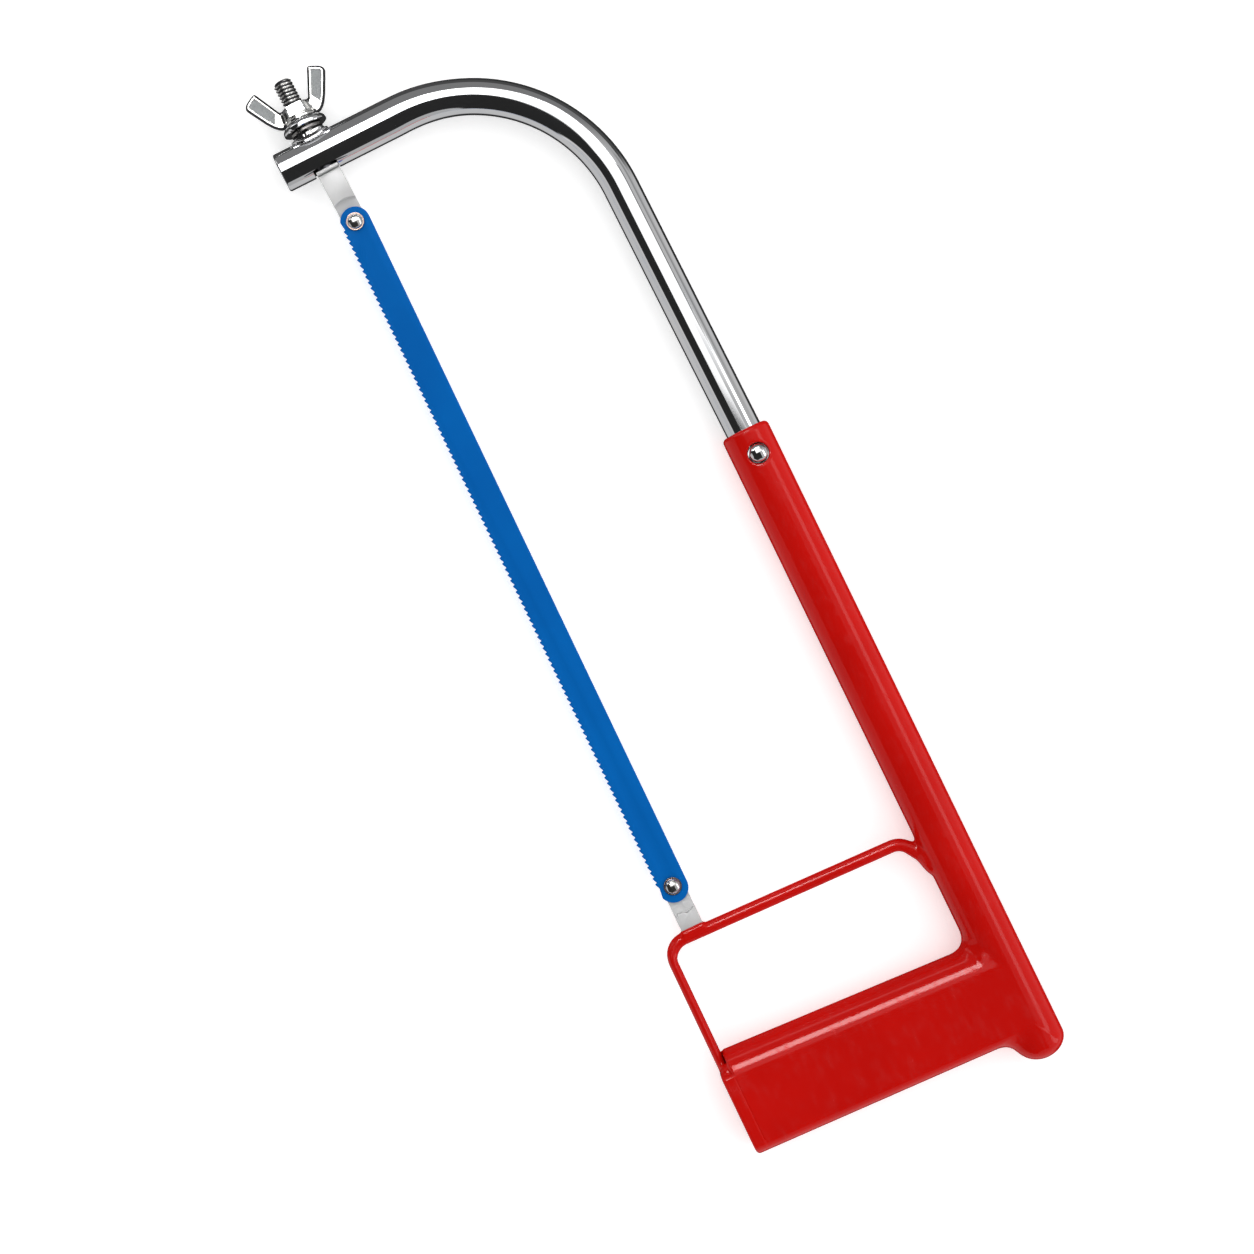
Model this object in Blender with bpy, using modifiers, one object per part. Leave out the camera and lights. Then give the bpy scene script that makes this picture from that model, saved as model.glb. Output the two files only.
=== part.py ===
"""Tubular hacksaw with a 300 mm blade, a screw tensioner and a pressed steel grip.

The saw lies flat on its side. +X runs along the blade towards the grip, +Y runs in the saw's
plane from the blade to the back tube, and +Z is up. Every length below is in the saw's own
datum: x = 0 midway between the two blade pins, y = 0 on the blade's centre line, z = 0 in the
saw's middle plane. The empty saw_datum then shifts the whole saw so that the middle of its
underside is at the world origin.
"""

import math

import bmesh
import bpy
from mathutils import Matrix, Vector

MM = 0.001
GAP = 0.3 * MM                      # clearance between neighbouring pieces
CUT_MARGIN = 1.0 * MM               # how far a cutter runs past what it cuts

# Where the datum lies in the world
DATUM_X = -31.42 * MM
DATUM_Y = -48.8 * MM

# Blade
PIN_SPACING = 300.0 * MM
BLADE_WIDTH = 12.4 * MM
BLADE_THICKNESS = 0.65 * MM
BLADE_END_RADIUS = BLADE_WIDTH / 2
BLADE_REAR_MARGIN = 0.6 * MM        # extra length behind the rear pin
TOOTH_PITCH = 2.54 * MM
TOOTH_DEPTH = 0.9 * MM
TOOTH_COUNT = 117
PIN_RADIUS = 2.0 * MM
PIN_HOLE_RADIUS = PIN_RADIUS + GAP
PIN_HEAD_RADIUS = 3.7 * MM
PIN_HEAD_HEIGHT = 2.3 * MM
PIN_TAIL_Z = -4.2 * MM

# Back: the red sleeve, its domed end and the bright front tube that slides into it
SLEEVE_RADIUS = 10.15 * MM
SLEEVE_BORE = 8.6 * MM
SLEEVE_MOUTH_BORE = 8.05 * MM
SLEEVE_MOUTH_DEPTH = 4.0 * MM
SLEEVE_MOUTH_ROUND = 2.0 * MM
SLEEVE_MOUTH_X = -5.2 * MM
SLEEVE_END_X = 270.4 * MM
SLEEVE_AXIS_Y = 106.4 * MM          # at x = 0
SLEEVE_SLOPE = math.radians(0.37)
CAP_LENGTH = 8.0 * MM
CAP_SPIGOT_RADIUS = SLEEVE_BORE - GAP
CAP_SPIGOT_LENGTH = 6.0 * MM
CAP_SPIGOT_BORE = 6.6 * MM

FRONT_TUBE_CORNER = (-183.2 * MM, 102.35 * MM)   # where its two centre lines meet
FRONT_TUBE_TILT = math.radians(1.22)
FRONT_TUBE_BACK_RADIUS = 7.45 * MM
FRONT_TUBE_LEG_RADIUS = 8.2 * MM    # the leg is pressed oval: wider in the saw's plane ...
FRONT_TUBE_LEG_HALF_DEPTH = 6.9 * MM             # ... and thinner across it
FRONT_TUBE_WALL = 1.4 * MM
FRONT_TUBE_BEND = 67.2 * MM
FRONT_TUBE_PRESS_START = -38.0 * MM  # below the corner, where the oval begins ...
FRONT_TUBE_PRESS_END = -74.0 * MM    # ... and where it is complete
FRONT_TUBE_LEG_LENGTH = 121.1 * MM
FRONT_TUBE_BACK_LENGTH = 228.2 * MM
LEG_OPENING_LOW = -5.7 * MM         # opening for the tension bolt, along the leg
LEG_OPENING_HIGH = 5.1 * MM
LEG_OPENING_HALF_DEPTH = 4.4 * MM
LEG_SLIT_Z = 4.3 * MM               # the lens-shaped slit above the opening starts here
LEG_SLIT_HALF_LENGTH = 10.0 * MM
LEG_SLIT_RISE = 0.65 * MM
LEG_PUNCH_CENTRE = -24.5 * MM       # on the tension axis
LEG_PUNCH_HALF_STROKE = 6.0 * MM
BOLT_HOLE_FROM = -44.0 * MM
BOLT_HOLE_TO = -31.0 * MM
LEG_SKIN_FROM = -118.0 * MM         # the length of the leg that the saddle washer can touch
LEG_SKIN_TO = -80.0 * MM

# Snap button that locks the front tube in the sleeve
BUTTON_X = 6.1 * MM
BUTTON_Y = 106.9 * MM
BUTTON_RADIUS = 3.7 * MM
BUTTON_TOP_Z = 12.3 * MM
BUTTON_DOME = 2.6 * MM
BUTTON_FLANGE_RADIUS = 4.5 * MM
BUTTON_FLANGE_TOP_Z = 2.9 * MM
BUTTON_FLANGE_THICKNESS = 1.2 * MM
BUTTON_HOLE_RADIUS = BUTTON_RADIUS + 0.4 * MM
SPRING_WIDTH = 4.6 * MM
SPRING_THICKNESS = 0.5 * MM
SPRING_BASE_Z = -4.4 * MM
SPRING_LENGTH = 26.0 * MM

# Tension bolt, nut and washers, along an axis through the front blade pin.
# Distances on this axis are negative towards the wing nut.
TENSION_TILT = math.radians(2.4)
BOLT_END = -64.4 * MM
BOLT_RADIUS = 3.95 * MM
BOLT_CHAMFER = 0.9 * MM
COLLAR_FROM = -24.2 * MM
COLLAR_TO = -23.1 * MM
COLLAR_HALF_WIDTH = 4.85 * MM
COLLAR_HALF_DEPTH = 4.0 * MM
GROOVE_TO = -22.5 * MM
GROOVE_Z = 0.0
STRIP_HALF_WIDTH = 4.85 * MM
STRIP_TOP_Z = 2.2 * MM
STRIP_BOTTOM_Z = -3.4 * MM
SEAT_Z = -(BLADE_THICKNESS / 2 + GAP)
SEAT_RADIUS = 10.2 * MM             # the seat's front edge, round the pin
STRIP_END = 6.0 * MM
SLOT_TRAVEL = 3.8 * MM
SADDLE_OUTER = -41.0 * MM
SADDLE_INNER = -37.0 * MM
SADDLE_HALF_LENGTH = 8.2 * MM
SADDLE_HALF_DEPTH = 5.2 * MM
LOCK_WASHER = (-42.6 * MM, -41.3 * MM)
LOCK_WASHER_RADIUS = 6.9 * MM
LOCK_WASHER_SPLIT = 1.2 * MM
LOCK_WASHER_TURN = math.radians(-40)
DOME_WASHER = (-46.2 * MM, -42.9 * MM)
DOME_WASHER_RADIUS = 9.4 * MM
DOME_WASHER_FACE_RADIUS = 7.0 * MM
DOME_WASHER_RIM = 1.3 * MM
WASHER_BORE = 4.3 * MM
NUT_BORE = 4.25 * MM
NUT_CENTRE = -50.0 * MM
HUB_OUTER = -53.35 * MM
HUB_INNER = -46.5 * MM
HUB_OUTER_RADIUS = 6.35 * MM
HUB_INNER_RADIUS = 7.4 * MM
WING_THICKNESS = 2.4 * MM
WING_OUTLINE_MM = ((-46.6, 5.5), (-46.3, 7.9), (-47.3, 9.8), (-49.3, 11.9), (-52.0, 13.7),
                   (-60.0, 18.2), (-61.6, 18.1), (-63.2, 16.6), (-65.0, 13.2), (-65.1, 12.2),
                   (-64.2, 11.6), (-53.0, 6.2), (-52.6, 4.8))

# Rear blade holder
HOLDER_HALF_WIDTH = 4.65 * MM
HOLDER_TOP_Z = 1.9 * MM
HOLDER_STEP_X = 161.6 * MM
HOLDER_FRONT_X = 143.5 * MM
HOLDER_REAR_X = 169.4 * MM

# Guard rod, as the corners of its centre line
GUARD_TOP = (188.5 * MM, 100.6 * MM)
GUARD_KNEE = (173.95 * MM, 91.5 * MM)
GUARD_HEEL = (170.98 * MM, -13.2 * MM)
GUARD_TOE = (226.0 * MM, -13.4 * MM)
GUARD_BEND = 8.0 * MM
GUARD_RADIUS = 2.6 * MM
GUARD_FOOT_HALF_HEIGHT = 1.9 * MM   # the foot is pressed flat under the grip
GUARD_FOOT_HALF_DEPTH = 3.0 * MM

# Grip
GRIP_HALF_DEPTH = SLEEVE_RADIUS
GRIP_WALL = 1.5 * MM
GRIP_BOTTOM_Y = -15.6 * MM
GRIP_TOP_Y = 104.0 * MM
GRIP_FRONT_X = 219.4 * MM           # at y = 0
GRIP_FRONT_SLOPE = 0.0495
GRIP_REAR_X = 263.7 * MM            # at y = 0
GRIP_REAR_SLOPE = 0.032
GRIP_FRONT_ROUND = 11.5 * MM
GRIP_REAR_ROUND = 6.0 * MM
GRIP_FLARE_Y = 97.6 * MM
GRIP_FLARE = 6.6 * MM
GRIP_FLARE_TURNS = (22, 42, 60, 76)  # degrees
GRIP_LEVELS = (20.0 * MM, 55.0 * MM, 89.0 * MM)
GRIP_TRIM_MARGIN = 20.0 * MM
GRIP_END_CHAMFER = 1.0 * MM
TOE_STEP_X = 226.3 * MM             # the shell is stepped back over the guard rod's end
TOE_STEP_Y = -11.0 * MM
TOE_STEP_ROUND = 3.0 * MM

# Weld beads, as half sizes along x, y and z
GUARD_WELD_CENTRE = (184.2 * MM, 98.1 * MM, 0.0)
GUARD_WELD_SIZE = (6.2 * MM, 3.2 * MM, 4.6 * MM)
TOE_WELD_CENTRE = (224.2 * MM, -13.1 * MM, 5.0 * MM)
TOE_WELD_SIZE = (1.75 * MM, 1.7 * MM, 1.65 * MM)
HOLDER_WELD_CENTRE = (170.2 * MM, 0.0, -4.1 * MM)
HOLDER_WELD_SIZE = (2.4 * MM, 4.3 * MM, 1.9 * MM)

PAINT_RED = (0.50, 0.009, 0.006)
PAINT_BLUE = (0.0, 0.12, 0.50)
CHROME = (0.80, 0.81, 0.83)
STEEL = (0.56, 0.56, 0.56)


def clear_scene():
    for item in list(bpy.data.objects):
        bpy.data.objects.remove(item, do_unlink=True)


def new_collection(name):
    collection = bpy.data.collections.new(name)
    bpy.context.scene.collection.children.link(collection)
    return collection


def new_material(name, colour, metallic, roughness):
    material = bpy.data.materials.new(name)
    material.use_nodes = True
    shader = material.node_tree.nodes["Principled BSDF"]
    shader.inputs["Base Color"].default_value = (*colour, 1.0)
    shader.inputs["Metallic"].default_value = metallic
    shader.inputs["Roughness"].default_value = roughness
    return material


def new_empty(name, parent=None, location=(0.0, 0.0, 0.0), turn_z=0.0):
    empty = bpy.data.objects.new(name, None)
    PARTS.objects.link(empty)
    empty.parent = parent
    empty.location = location
    empty.rotation_euler = (0.0, 0.0, turn_z)
    return empty


def place(item, parent, location=(0.0, 0.0, 0.0), rotation=(0.0, 0.0, 0.0)):
    item.parent = parent
    item.location = location
    item.rotation_euler = rotation
    return item


def finish(item, colour, metallic, roughness):
    """Give a node its own material and shade its round faces smooth."""
    item.data.materials.clear()
    item.data.materials.append(new_material(item.name + "_finish", colour, metallic, roughness))
    item.data.shade_smooth()
    item.data.set_sharp_from_angle(angle=math.radians(35))
    return item


def mesh_object(name, mesh, collection):
    item = bpy.data.objects.new(name, mesh)
    collection.objects.link(item)
    return item


def as_cutter(item):
    item.hide_render = True
    item.display_type = "WIRE"
    return item


def boolean(item, other, operation):
    modifier = item.modifiers.new(operation.lower() + "_" + other.name, "BOOLEAN")
    modifier.operation = operation
    modifier.solver = "EXACT"
    modifier.object = other


def cut(item, *cutters):
    for cutter in cutters:
        boolean(item, cutter, "DIFFERENCE")


def join(item, *others):
    for other in others:
        boolean(item, as_cutter(other), "UNION")


def block(name, low, high, collection):
    """A box between two corners."""
    mesh = bpy.data.meshes.new(name)
    cage = bmesh.new()
    bmesh.ops.create_cube(cage, size=1.0)
    size = Vector(high) - Vector(low)
    centre = (Vector(high) + Vector(low)) / 2
    bmesh.ops.scale(cage, vec=size, verts=cage.verts)
    bmesh.ops.translate(cage, vec=centre, verts=cage.verts)
    cage.to_mesh(mesh)
    cage.free()
    return mesh_object(name, mesh, collection)


def rod_along_x(name, start, end, radius, collection, sides=24, end_radius=None):
    """A cylinder or cone on the X axis from start to end."""
    mesh = bpy.data.meshes.new(name)
    cage = bmesh.new()
    last = radius if end_radius is None else end_radius
    turn = Matrix.Rotation(math.pi / 2, 4, "Y")
    shift = Matrix.Translation(((start + end) / 2, 0.0, 0.0))
    bmesh.ops.create_cone(cage, cap_ends=True, segments=sides, radius1=radius, radius2=last,
                          depth=end - start, matrix=shift @ turn)
    cage.to_mesh(mesh)
    cage.free()
    return mesh_object(name, mesh, collection)


def post(name, bottom, top, radius, collection, sides=24):
    """A cylinder on the Z axis from bottom to top."""
    mesh = bpy.data.meshes.new(name)
    cage = bmesh.new()
    shift = Matrix.Translation((0.0, 0.0, (bottom + top) / 2))
    bmesh.ops.create_cone(cage, cap_ends=True, segments=sides, radius1=radius, radius2=radius,
                          depth=top - bottom, matrix=shift)
    cage.to_mesh(mesh)
    cage.free()
    return mesh_object(name, mesh, collection)


def bead(name, centre, half_sizes, collection):
    """An egg-shaped weld bead."""
    mesh = bpy.data.meshes.new(name)
    cage = bmesh.new()
    bmesh.ops.create_uvsphere(cage, u_segments=14, v_segments=8, radius=1.0)
    bmesh.ops.scale(cage, vec=half_sizes, verts=cage.verts)
    bmesh.ops.translate(cage, vec=centre, verts=cage.verts)
    cage.to_mesh(mesh)
    cage.free()
    return mesh_object(name, mesh, collection)


def turned(name, profile, closed, collection, steps=28):
    """Spin a profile of (radius, height) points about the Z axis."""
    mesh = bpy.data.meshes.new(name)
    points = [(radius, 0.0, height) for radius, height in profile]
    edges = [(index, index + 1) for index in range(len(points) - 1)]
    if closed:
        edges.append((len(points) - 1, 0))
    mesh.from_pydata(points, edges, [])
    item = mesh_object(name, mesh, collection)
    screw = item.modifiers.new("spin", "SCREW")
    screw.axis = "Z"
    screw.steps = steps
    screw.render_steps = steps
    screw.use_merge_vertices = True
    screw.merge_threshold = 0.00001
    screw.use_smooth_shade = True
    return item


def baked(item):
    """The item with its modifiers or its curve made into a plain mesh of the same name."""
    bpy.context.view_layer.update()
    graph = bpy.context.evaluated_depsgraph_get()
    mesh = bpy.data.meshes.new_from_object(item.evaluated_get(graph))
    cage = bmesh.new()
    cage.from_mesh(mesh)
    bmesh.ops.remove_doubles(cage, verts=cage.verts, dist=0.00001)
    cage.to_mesh(mesh)
    cage.free()
    name = item.name
    collection = item.users_collection[0]
    place_in_world = item.matrix_world.copy()
    bpy.data.objects.remove(item, do_unlink=True)
    solid = mesh_object(name, mesh, collection)
    solid.matrix_world = place_in_world
    return solid


def plate(name, outline, half_thickness, collection):
    """A flat outline in the XY plane, thickened both ways along Z."""
    data = bpy.data.curves.new(name, "CURVE")
    data.dimensions = "2D"
    data.fill_mode = "BOTH"
    data.extrude = half_thickness
    spline = data.splines.new("POLY")
    spline.points.add(len(outline) - 1)
    for point, (x, y) in zip(spline.points, outline):
        point.co = (x, y, 0.0, 1.0)
    spline.use_cyclic_u = True
    item = bpy.data.objects.new(name, data)
    collection.objects.link(item)
    return baked(item)


def pipe(name, path, radii, collection, resolution, capped):
    """A round bar or open pipe along a path in the XY plane, with a radius at each point."""
    data = bpy.data.curves.new(name, "CURVE")
    data.dimensions = "3D"
    data.bevel_depth = 1.0
    data.bevel_resolution = resolution
    data.use_fill_caps = capped
    spline = data.splines.new("POLY")
    spline.points.add(len(path) - 1)
    for point, (x, y), radius in zip(spline.points, path, radii):
        point.co = (x, y, 0.0, 1.0)
        point.radius = radius
    item = bpy.data.objects.new(name, data)
    collection.objects.link(item)
    return baked(item)


def arc(centre, radius, start, end, steps):
    """Points on a circular arc, with its angles in degrees."""
    points = []
    for step in range(steps + 1):
        angle = math.radians(start + (end - start) * step / steps)
        points.append((centre[0] + radius * math.cos(angle), centre[1] + radius * math.sin(angle)))
    return points


def rounded_path(corners, radius, steps):
    """A path through the corners, with each inner corner turned by an arc."""
    path = [corners[0]]
    for before, here, after in zip(corners, corners[1:], corners[2:]):
        here = Vector(here)
        to_before = (Vector(before) - here).normalized()
        to_after = (Vector(after) - here).normalized()
        half_angle = to_before.angle(to_after) / 2
        bisector = (to_before + to_after).normalized()
        centre = here + bisector * radius / math.sin(half_angle)
        first = here + to_before * radius / math.tan(half_angle) - centre
        turn = to_before.angle_signed(-to_after)
        for step in range(steps + 1):
            spoke = first.copy()
            spoke.rotate(Matrix.Rotation(-turn * step / steps, 2))
            path.append(tuple(centre + spoke))
    path.append(corners[-1])
    return path


def ease(value):
    """A smooth change from 0 to 1."""
    value = min(max(value, 0.0), 1.0)
    return value * value * (3.0 - 2.0 * value)


def press_oval(item, share, depth_ratio):
    """Squash the item along Z where share(x, y) is 1, and leave it where share is 0."""
    for vertex in item.data.vertices:
        amount = share(vertex.co.x, vertex.co.y)
        vertex.co.z *= 1.0 + (depth_ratio - 1.0) * amount


# ---------------------------------------------------------------- back tube and its end

def build_sleeve(spine, hole):
    length = SLEEVE_END_X - SLEEVE_MOUTH_X
    lip_centre = (SLEEVE_RADIUS - SLEEVE_MOUTH_ROUND, SLEEVE_MOUTH_ROUND)
    profile = [(SLEEVE_RADIUS, length)]
    profile += arc(lip_centre, SLEEVE_MOUTH_ROUND, 0, -90, 5)
    profile += [(SLEEVE_MOUTH_BORE, GAP), (SLEEVE_MOUTH_BORE, SLEEVE_MOUTH_DEPTH),
                (SLEEVE_BORE, SLEEVE_MOUTH_DEPTH + SLEEVE_BORE - SLEEVE_MOUTH_BORE),
                (SLEEVE_BORE, length)]
    sleeve = turned("outer_tube", profile, True, PARTS)
    place(sleeve, spine, (SLEEVE_MOUTH_X, 0.0, 0.0), (0.0, math.pi / 2, 0.0))
    cut(sleeve, hole)
    finish(sleeve, PAINT_RED, 0.0, 0.25)


def build_end_cap(spine):
    """Domed plug: half an ellipse outside, and a hollow spigot that goes into the sleeve."""
    profile = []
    steps = 7
    for step in range(steps + 1):
        angle = math.pi / 2 * (1 - step / steps)
        profile.append((SLEEVE_RADIUS * math.cos(angle), CAP_LENGTH * math.sin(angle)))
    profile += [(SLEEVE_RADIUS, GAP), (CAP_SPIGOT_RADIUS, GAP),
                (CAP_SPIGOT_RADIUS, -CAP_SPIGOT_LENGTH), (CAP_SPIGOT_BORE, -CAP_SPIGOT_LENGTH),
                (CAP_SPIGOT_BORE, CAP_LENGTH / 4), (0.0, CAP_LENGTH / 2)]
    cap = turned("tube_end_cap", profile, False, PARTS)
    place(cap, spine, (SLEEVE_END_X, 0.0, 0.0), (0.0, math.pi / 2, 0.0))
    finish(cap, PAINT_RED, 0.0, 0.25)


# ---------------------------------------------------------------- front tube

def leg_share(y):
    """0 where the front tube is round, 1 on its oval leg, easing down the bend."""
    return ease((FRONT_TUBE_PRESS_START - y) / (FRONT_TUBE_PRESS_START - FRONT_TUBE_PRESS_END))


def front_tube_path():
    corners = [(0.0, -FRONT_TUBE_LEG_LENGTH), (0.0, 0.0), (FRONT_TUBE_BACK_LENGTH, 0.0)]
    return rounded_path(corners, FRONT_TUBE_BEND, 12)


def front_tube_surface(name, path, growth, collection, capped):
    """The outer skin of the front tube, grown by a clearance."""
    widen = FRONT_TUBE_LEG_RADIUS - FRONT_TUBE_BACK_RADIUS
    radii = [FRONT_TUBE_BACK_RADIUS + growth + widen * leg_share(y) for _, y in path]
    skin = pipe(name, path, radii, collection, 8, capped)
    depth_ratio = (FRONT_TUBE_LEG_HALF_DEPTH + growth) / (FRONT_TUBE_LEG_RADIUS + growth)
    press_oval(skin, lambda x, y: leg_share(y), depth_ratio)
    return skin


def build_front_tube(front, cutters):
    tube = front_tube_surface("front_tube", front_tube_path(), 0.0, PARTS, False)
    place(tube, front)
    wall = tube.modifiers.new("wall", "SOLIDIFY")
    wall.thickness = FRONT_TUBE_WALL
    wall.offset = -1.0
    wall.use_even_offset = True
    cut(tube, *cutters)
    finish(tube, CHROME, 1.0, 0.08)


def leg_opening_cutter(tension):
    """Punch for the opening in the leg: a square hole with a long lens-shaped slit above it."""
    outline = [(LEG_OPENING_LOW, -LEG_OPENING_HALF_DEPTH),
               (LEG_OPENING_HIGH, -LEG_OPENING_HALF_DEPTH),
               (LEG_OPENING_HIGH, LEG_SLIT_Z)]
    steps = 12
    for step in range(steps + 1):
        angle = math.pi * step / steps
        outline.append((LEG_SLIT_HALF_LENGTH * math.cos(angle),
                        LEG_SLIT_Z + LEG_SLIT_RISE * math.sin(angle)))
    outline.append((LEG_OPENING_LOW, LEG_SLIT_Z))
    punch = plate("leg_punch", outline, LEG_PUNCH_HALF_STROKE, CUTTERS)
    quarter = math.pi / 2
    place(punch, tension, (LEG_PUNCH_CENTRE, 0.0, 0.0), (quarter, 0.0, quarter))
    return as_cutter(punch)


# ---------------------------------------------------------------- snap button

def build_button(datum):
    profile = []
    steps = 6
    for step in range(steps + 1):
        angle = math.pi / 2 * (1 - step / steps)
        height = BUTTON_TOP_Z - BUTTON_DOME * (1 - math.sin(angle))
        profile.append((BUTTON_RADIUS * math.cos(angle), height))
    flange_bottom = BUTTON_FLANGE_TOP_Z - BUTTON_FLANGE_THICKNESS
    profile += [(BUTTON_RADIUS, BUTTON_FLANGE_TOP_Z), (BUTTON_FLANGE_RADIUS, BUTTON_FLANGE_TOP_Z),
                (BUTTON_FLANGE_RADIUS, flange_bottom), (0.0, flange_bottom)]
    button = turned("snap_button", profile, False, PARTS, 24)
    place(button, datum, (BUTTON_X, BUTTON_Y, 0.0))
    finish(button, CHROME, 1.0, 0.08)


def build_spring(datum):
    """Leaf spring folded into a V: its foot lies in the tube and its arm lifts the button."""
    arm_z = BUTTON_FLANGE_TOP_Z - BUTTON_FLANGE_THICKNESS - GAP - SPRING_THICKNESS
    fold_z = (SPRING_BASE_Z + arm_z) / 2
    fold_radius = (arm_z - SPRING_BASE_Z) / 2
    fold = arc((SPRING_LENGTH, fold_z), fold_radius, -90, 90, 8)
    line = [(-BUTTON_FLANGE_RADIUS, SPRING_BASE_Z)] + fold + [(-BUTTON_FLANGE_RADIUS, arm_z)]
    mesh = bpy.data.meshes.new("snap_spring")
    cage = bmesh.new()
    for x, z in line:
        cage.verts.new((x, -SPRING_WIDTH / 2, z))
    for x, z in line:
        cage.verts.new((x, SPRING_WIDTH / 2, z))
    cage.verts.ensure_lookup_table()
    count = len(line)
    for index in range(count - 1):
        cage.faces.new([cage.verts[index], cage.verts[index + 1],
                        cage.verts[count + index + 1], cage.verts[count + index]])
    cage.to_mesh(mesh)
    cage.free()
    spring = mesh_object("snap_spring", mesh, PARTS)
    leaf = spring.modifiers.new("leaf", "SOLIDIFY")
    leaf.thickness = SPRING_THICKNESS
    leaf.offset = -1.0
    place(spring, datum, (BUTTON_X, BUTTON_Y, 0.0))
    finish(spring, STEEL, 1.0, 0.3)


# ---------------------------------------------------------------- blade and its pins

def blade_outline():
    half = PIN_SPACING / 2
    outline = arc((half + BLADE_REAR_MARGIN, 0.0), BLADE_END_RADIUS, -70, 90, 9)
    outline += arc((-half, 0.0), BLADE_END_RADIUS, 90, 250, 9)
    tip_y = -BLADE_WIDTH / 2
    first = -TOOTH_COUNT * TOOTH_PITCH / 2
    for tooth in range(TOOTH_COUNT):
        x = first + tooth * TOOTH_PITCH
        outline.append((x, tip_y + TOOTH_DEPTH))
        outline.append((x + TOOTH_PITCH / 8, tip_y))
    outline.append((first + TOOTH_COUNT * TOOTH_PITCH, tip_y + TOOTH_DEPTH))
    return outline


def build_blade(datum):
    blade = plate("blade", blade_outline(), BLADE_THICKNESS / 2, PARTS)
    place(blade, datum)
    for side, name in ((-1, "front_eye"), (1, "rear_eye")):
        eye = post(name, -CUT_MARGIN, CUT_MARGIN, PIN_HOLE_RADIUS, CUTTERS)
        place(eye, datum, (side * PIN_SPACING / 2, 0.0, 0.0))
        cut(blade, as_cutter(eye))
    finish(blade, PAINT_BLUE, 0.1, 0.35)


def build_blade_pin(name, datum, x):
    head_z = BLADE_THICKNESS / 2 + GAP
    profile = []
    steps = 6
    for step in range(steps + 1):
        angle = math.pi / 2 * (1 - step / steps)
        profile.append((PIN_HEAD_RADIUS * math.cos(angle), head_z + PIN_HEAD_HEIGHT * math.sin(angle)))
    profile += [(PIN_RADIUS, head_z), (PIN_RADIUS, PIN_TAIL_Z), (0.0, PIN_TAIL_Z)]
    pin = turned(name, profile, False, PARTS, 24)
    place(pin, datum, (x, 0.0, 0.0))
    finish(pin, CHROME, 1.0, 0.12)


# ---------------------------------------------------------------- tension bolt and nut

def strip_outline(start, end, half_width):
    """A bar from start with a round far end."""
    side = 1 if end > start else -1
    centre = end - side * half_width
    first_angle = -90 * side
    tip = arc((centre, 0.0), half_width, first_angle, first_angle + 180, 8)
    return [(start, -side * half_width)] + tip + [(start, side * half_width)]


def holder_strip(name, outline, top_z, collection):
    """A holder bar between the underside and top_z, as one block."""
    half = (top_z - STRIP_BOTTOM_Z) / 2
    bar = plate(name, outline, half, collection)
    for vertex in bar.data.vertices:
        vertex.co.z += top_z - half
    return bar


def build_tension_bolt(tension):
    overlap = 2 * GAP
    wide = STRIP_HALF_WIDTH + CUT_MARGIN
    high = STRIP_TOP_Z + CUT_MARGIN
    bolt = holder_strip("tension_bolt", strip_outline(COLLAR_TO - overlap, STRIP_END,
                                                      STRIP_HALF_WIDTH), STRIP_TOP_Z, PARTS)
    place(bolt, tension)
    seat_outline = arc((0.0, 0.0), SEAT_RADIUS, 90, 270, 12)
    seat_outline += [(STRIP_END + CUT_MARGIN, -SEAT_RADIUS), (STRIP_END + CUT_MARGIN, SEAT_RADIUS)]
    seat_half = (high - SEAT_Z) / 2
    seat = plate("front_seat", seat_outline, seat_half, CUTTERS)
    groove = block("front_groove", (COLLAR_TO, -wide, GROOVE_Z), (GROOVE_TO, wide, high), CUTTERS)
    collar = block("front_collar", (COLLAR_FROM, -COLLAR_HALF_WIDTH, -COLLAR_HALF_DEPTH),
                   (COLLAR_TO, COLLAR_HALF_WIDTH, COLLAR_HALF_DEPTH), CUTTERS)
    shank_length = COLLAR_FROM + overlap - BOLT_END
    shank = turned("front_shank", [(0.0, shank_length), (BOLT_RADIUS - BOLT_CHAMFER, shank_length),
                                   (BOLT_RADIUS, shank_length - BOLT_CHAMFER), (BOLT_RADIUS, 0.0),
                                   (0.0, 0.0)], False, CUTTERS, 24)
    slot_half = PIN_HOLE_RADIUS
    slot_outline = arc((0.0, 0.0), slot_half, -90, 90, 8)
    slot_outline += arc((-SLOT_TRAVEL, 0.0), slot_half, 90, 270, 8)
    slot = plate("front_slot", slot_outline, STRIP_TOP_Z - STRIP_BOTTOM_Z, CUTTERS)
    for tool in (groove, collar, slot):
        place(as_cutter(tool), tension)
    place(as_cutter(seat), tension, (0.0, 0.0, SEAT_Z + seat_half))
    place(shank, tension, (COLLAR_FROM + overlap, 0.0, 0.0), (0.0, -math.pi / 2, 0.0))
    cut(bolt, seat, groove)
    join(bolt, collar, shank)
    cut(bolt, slot)
    finish(bolt, STEEL, 1.0, 0.3)


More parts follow.
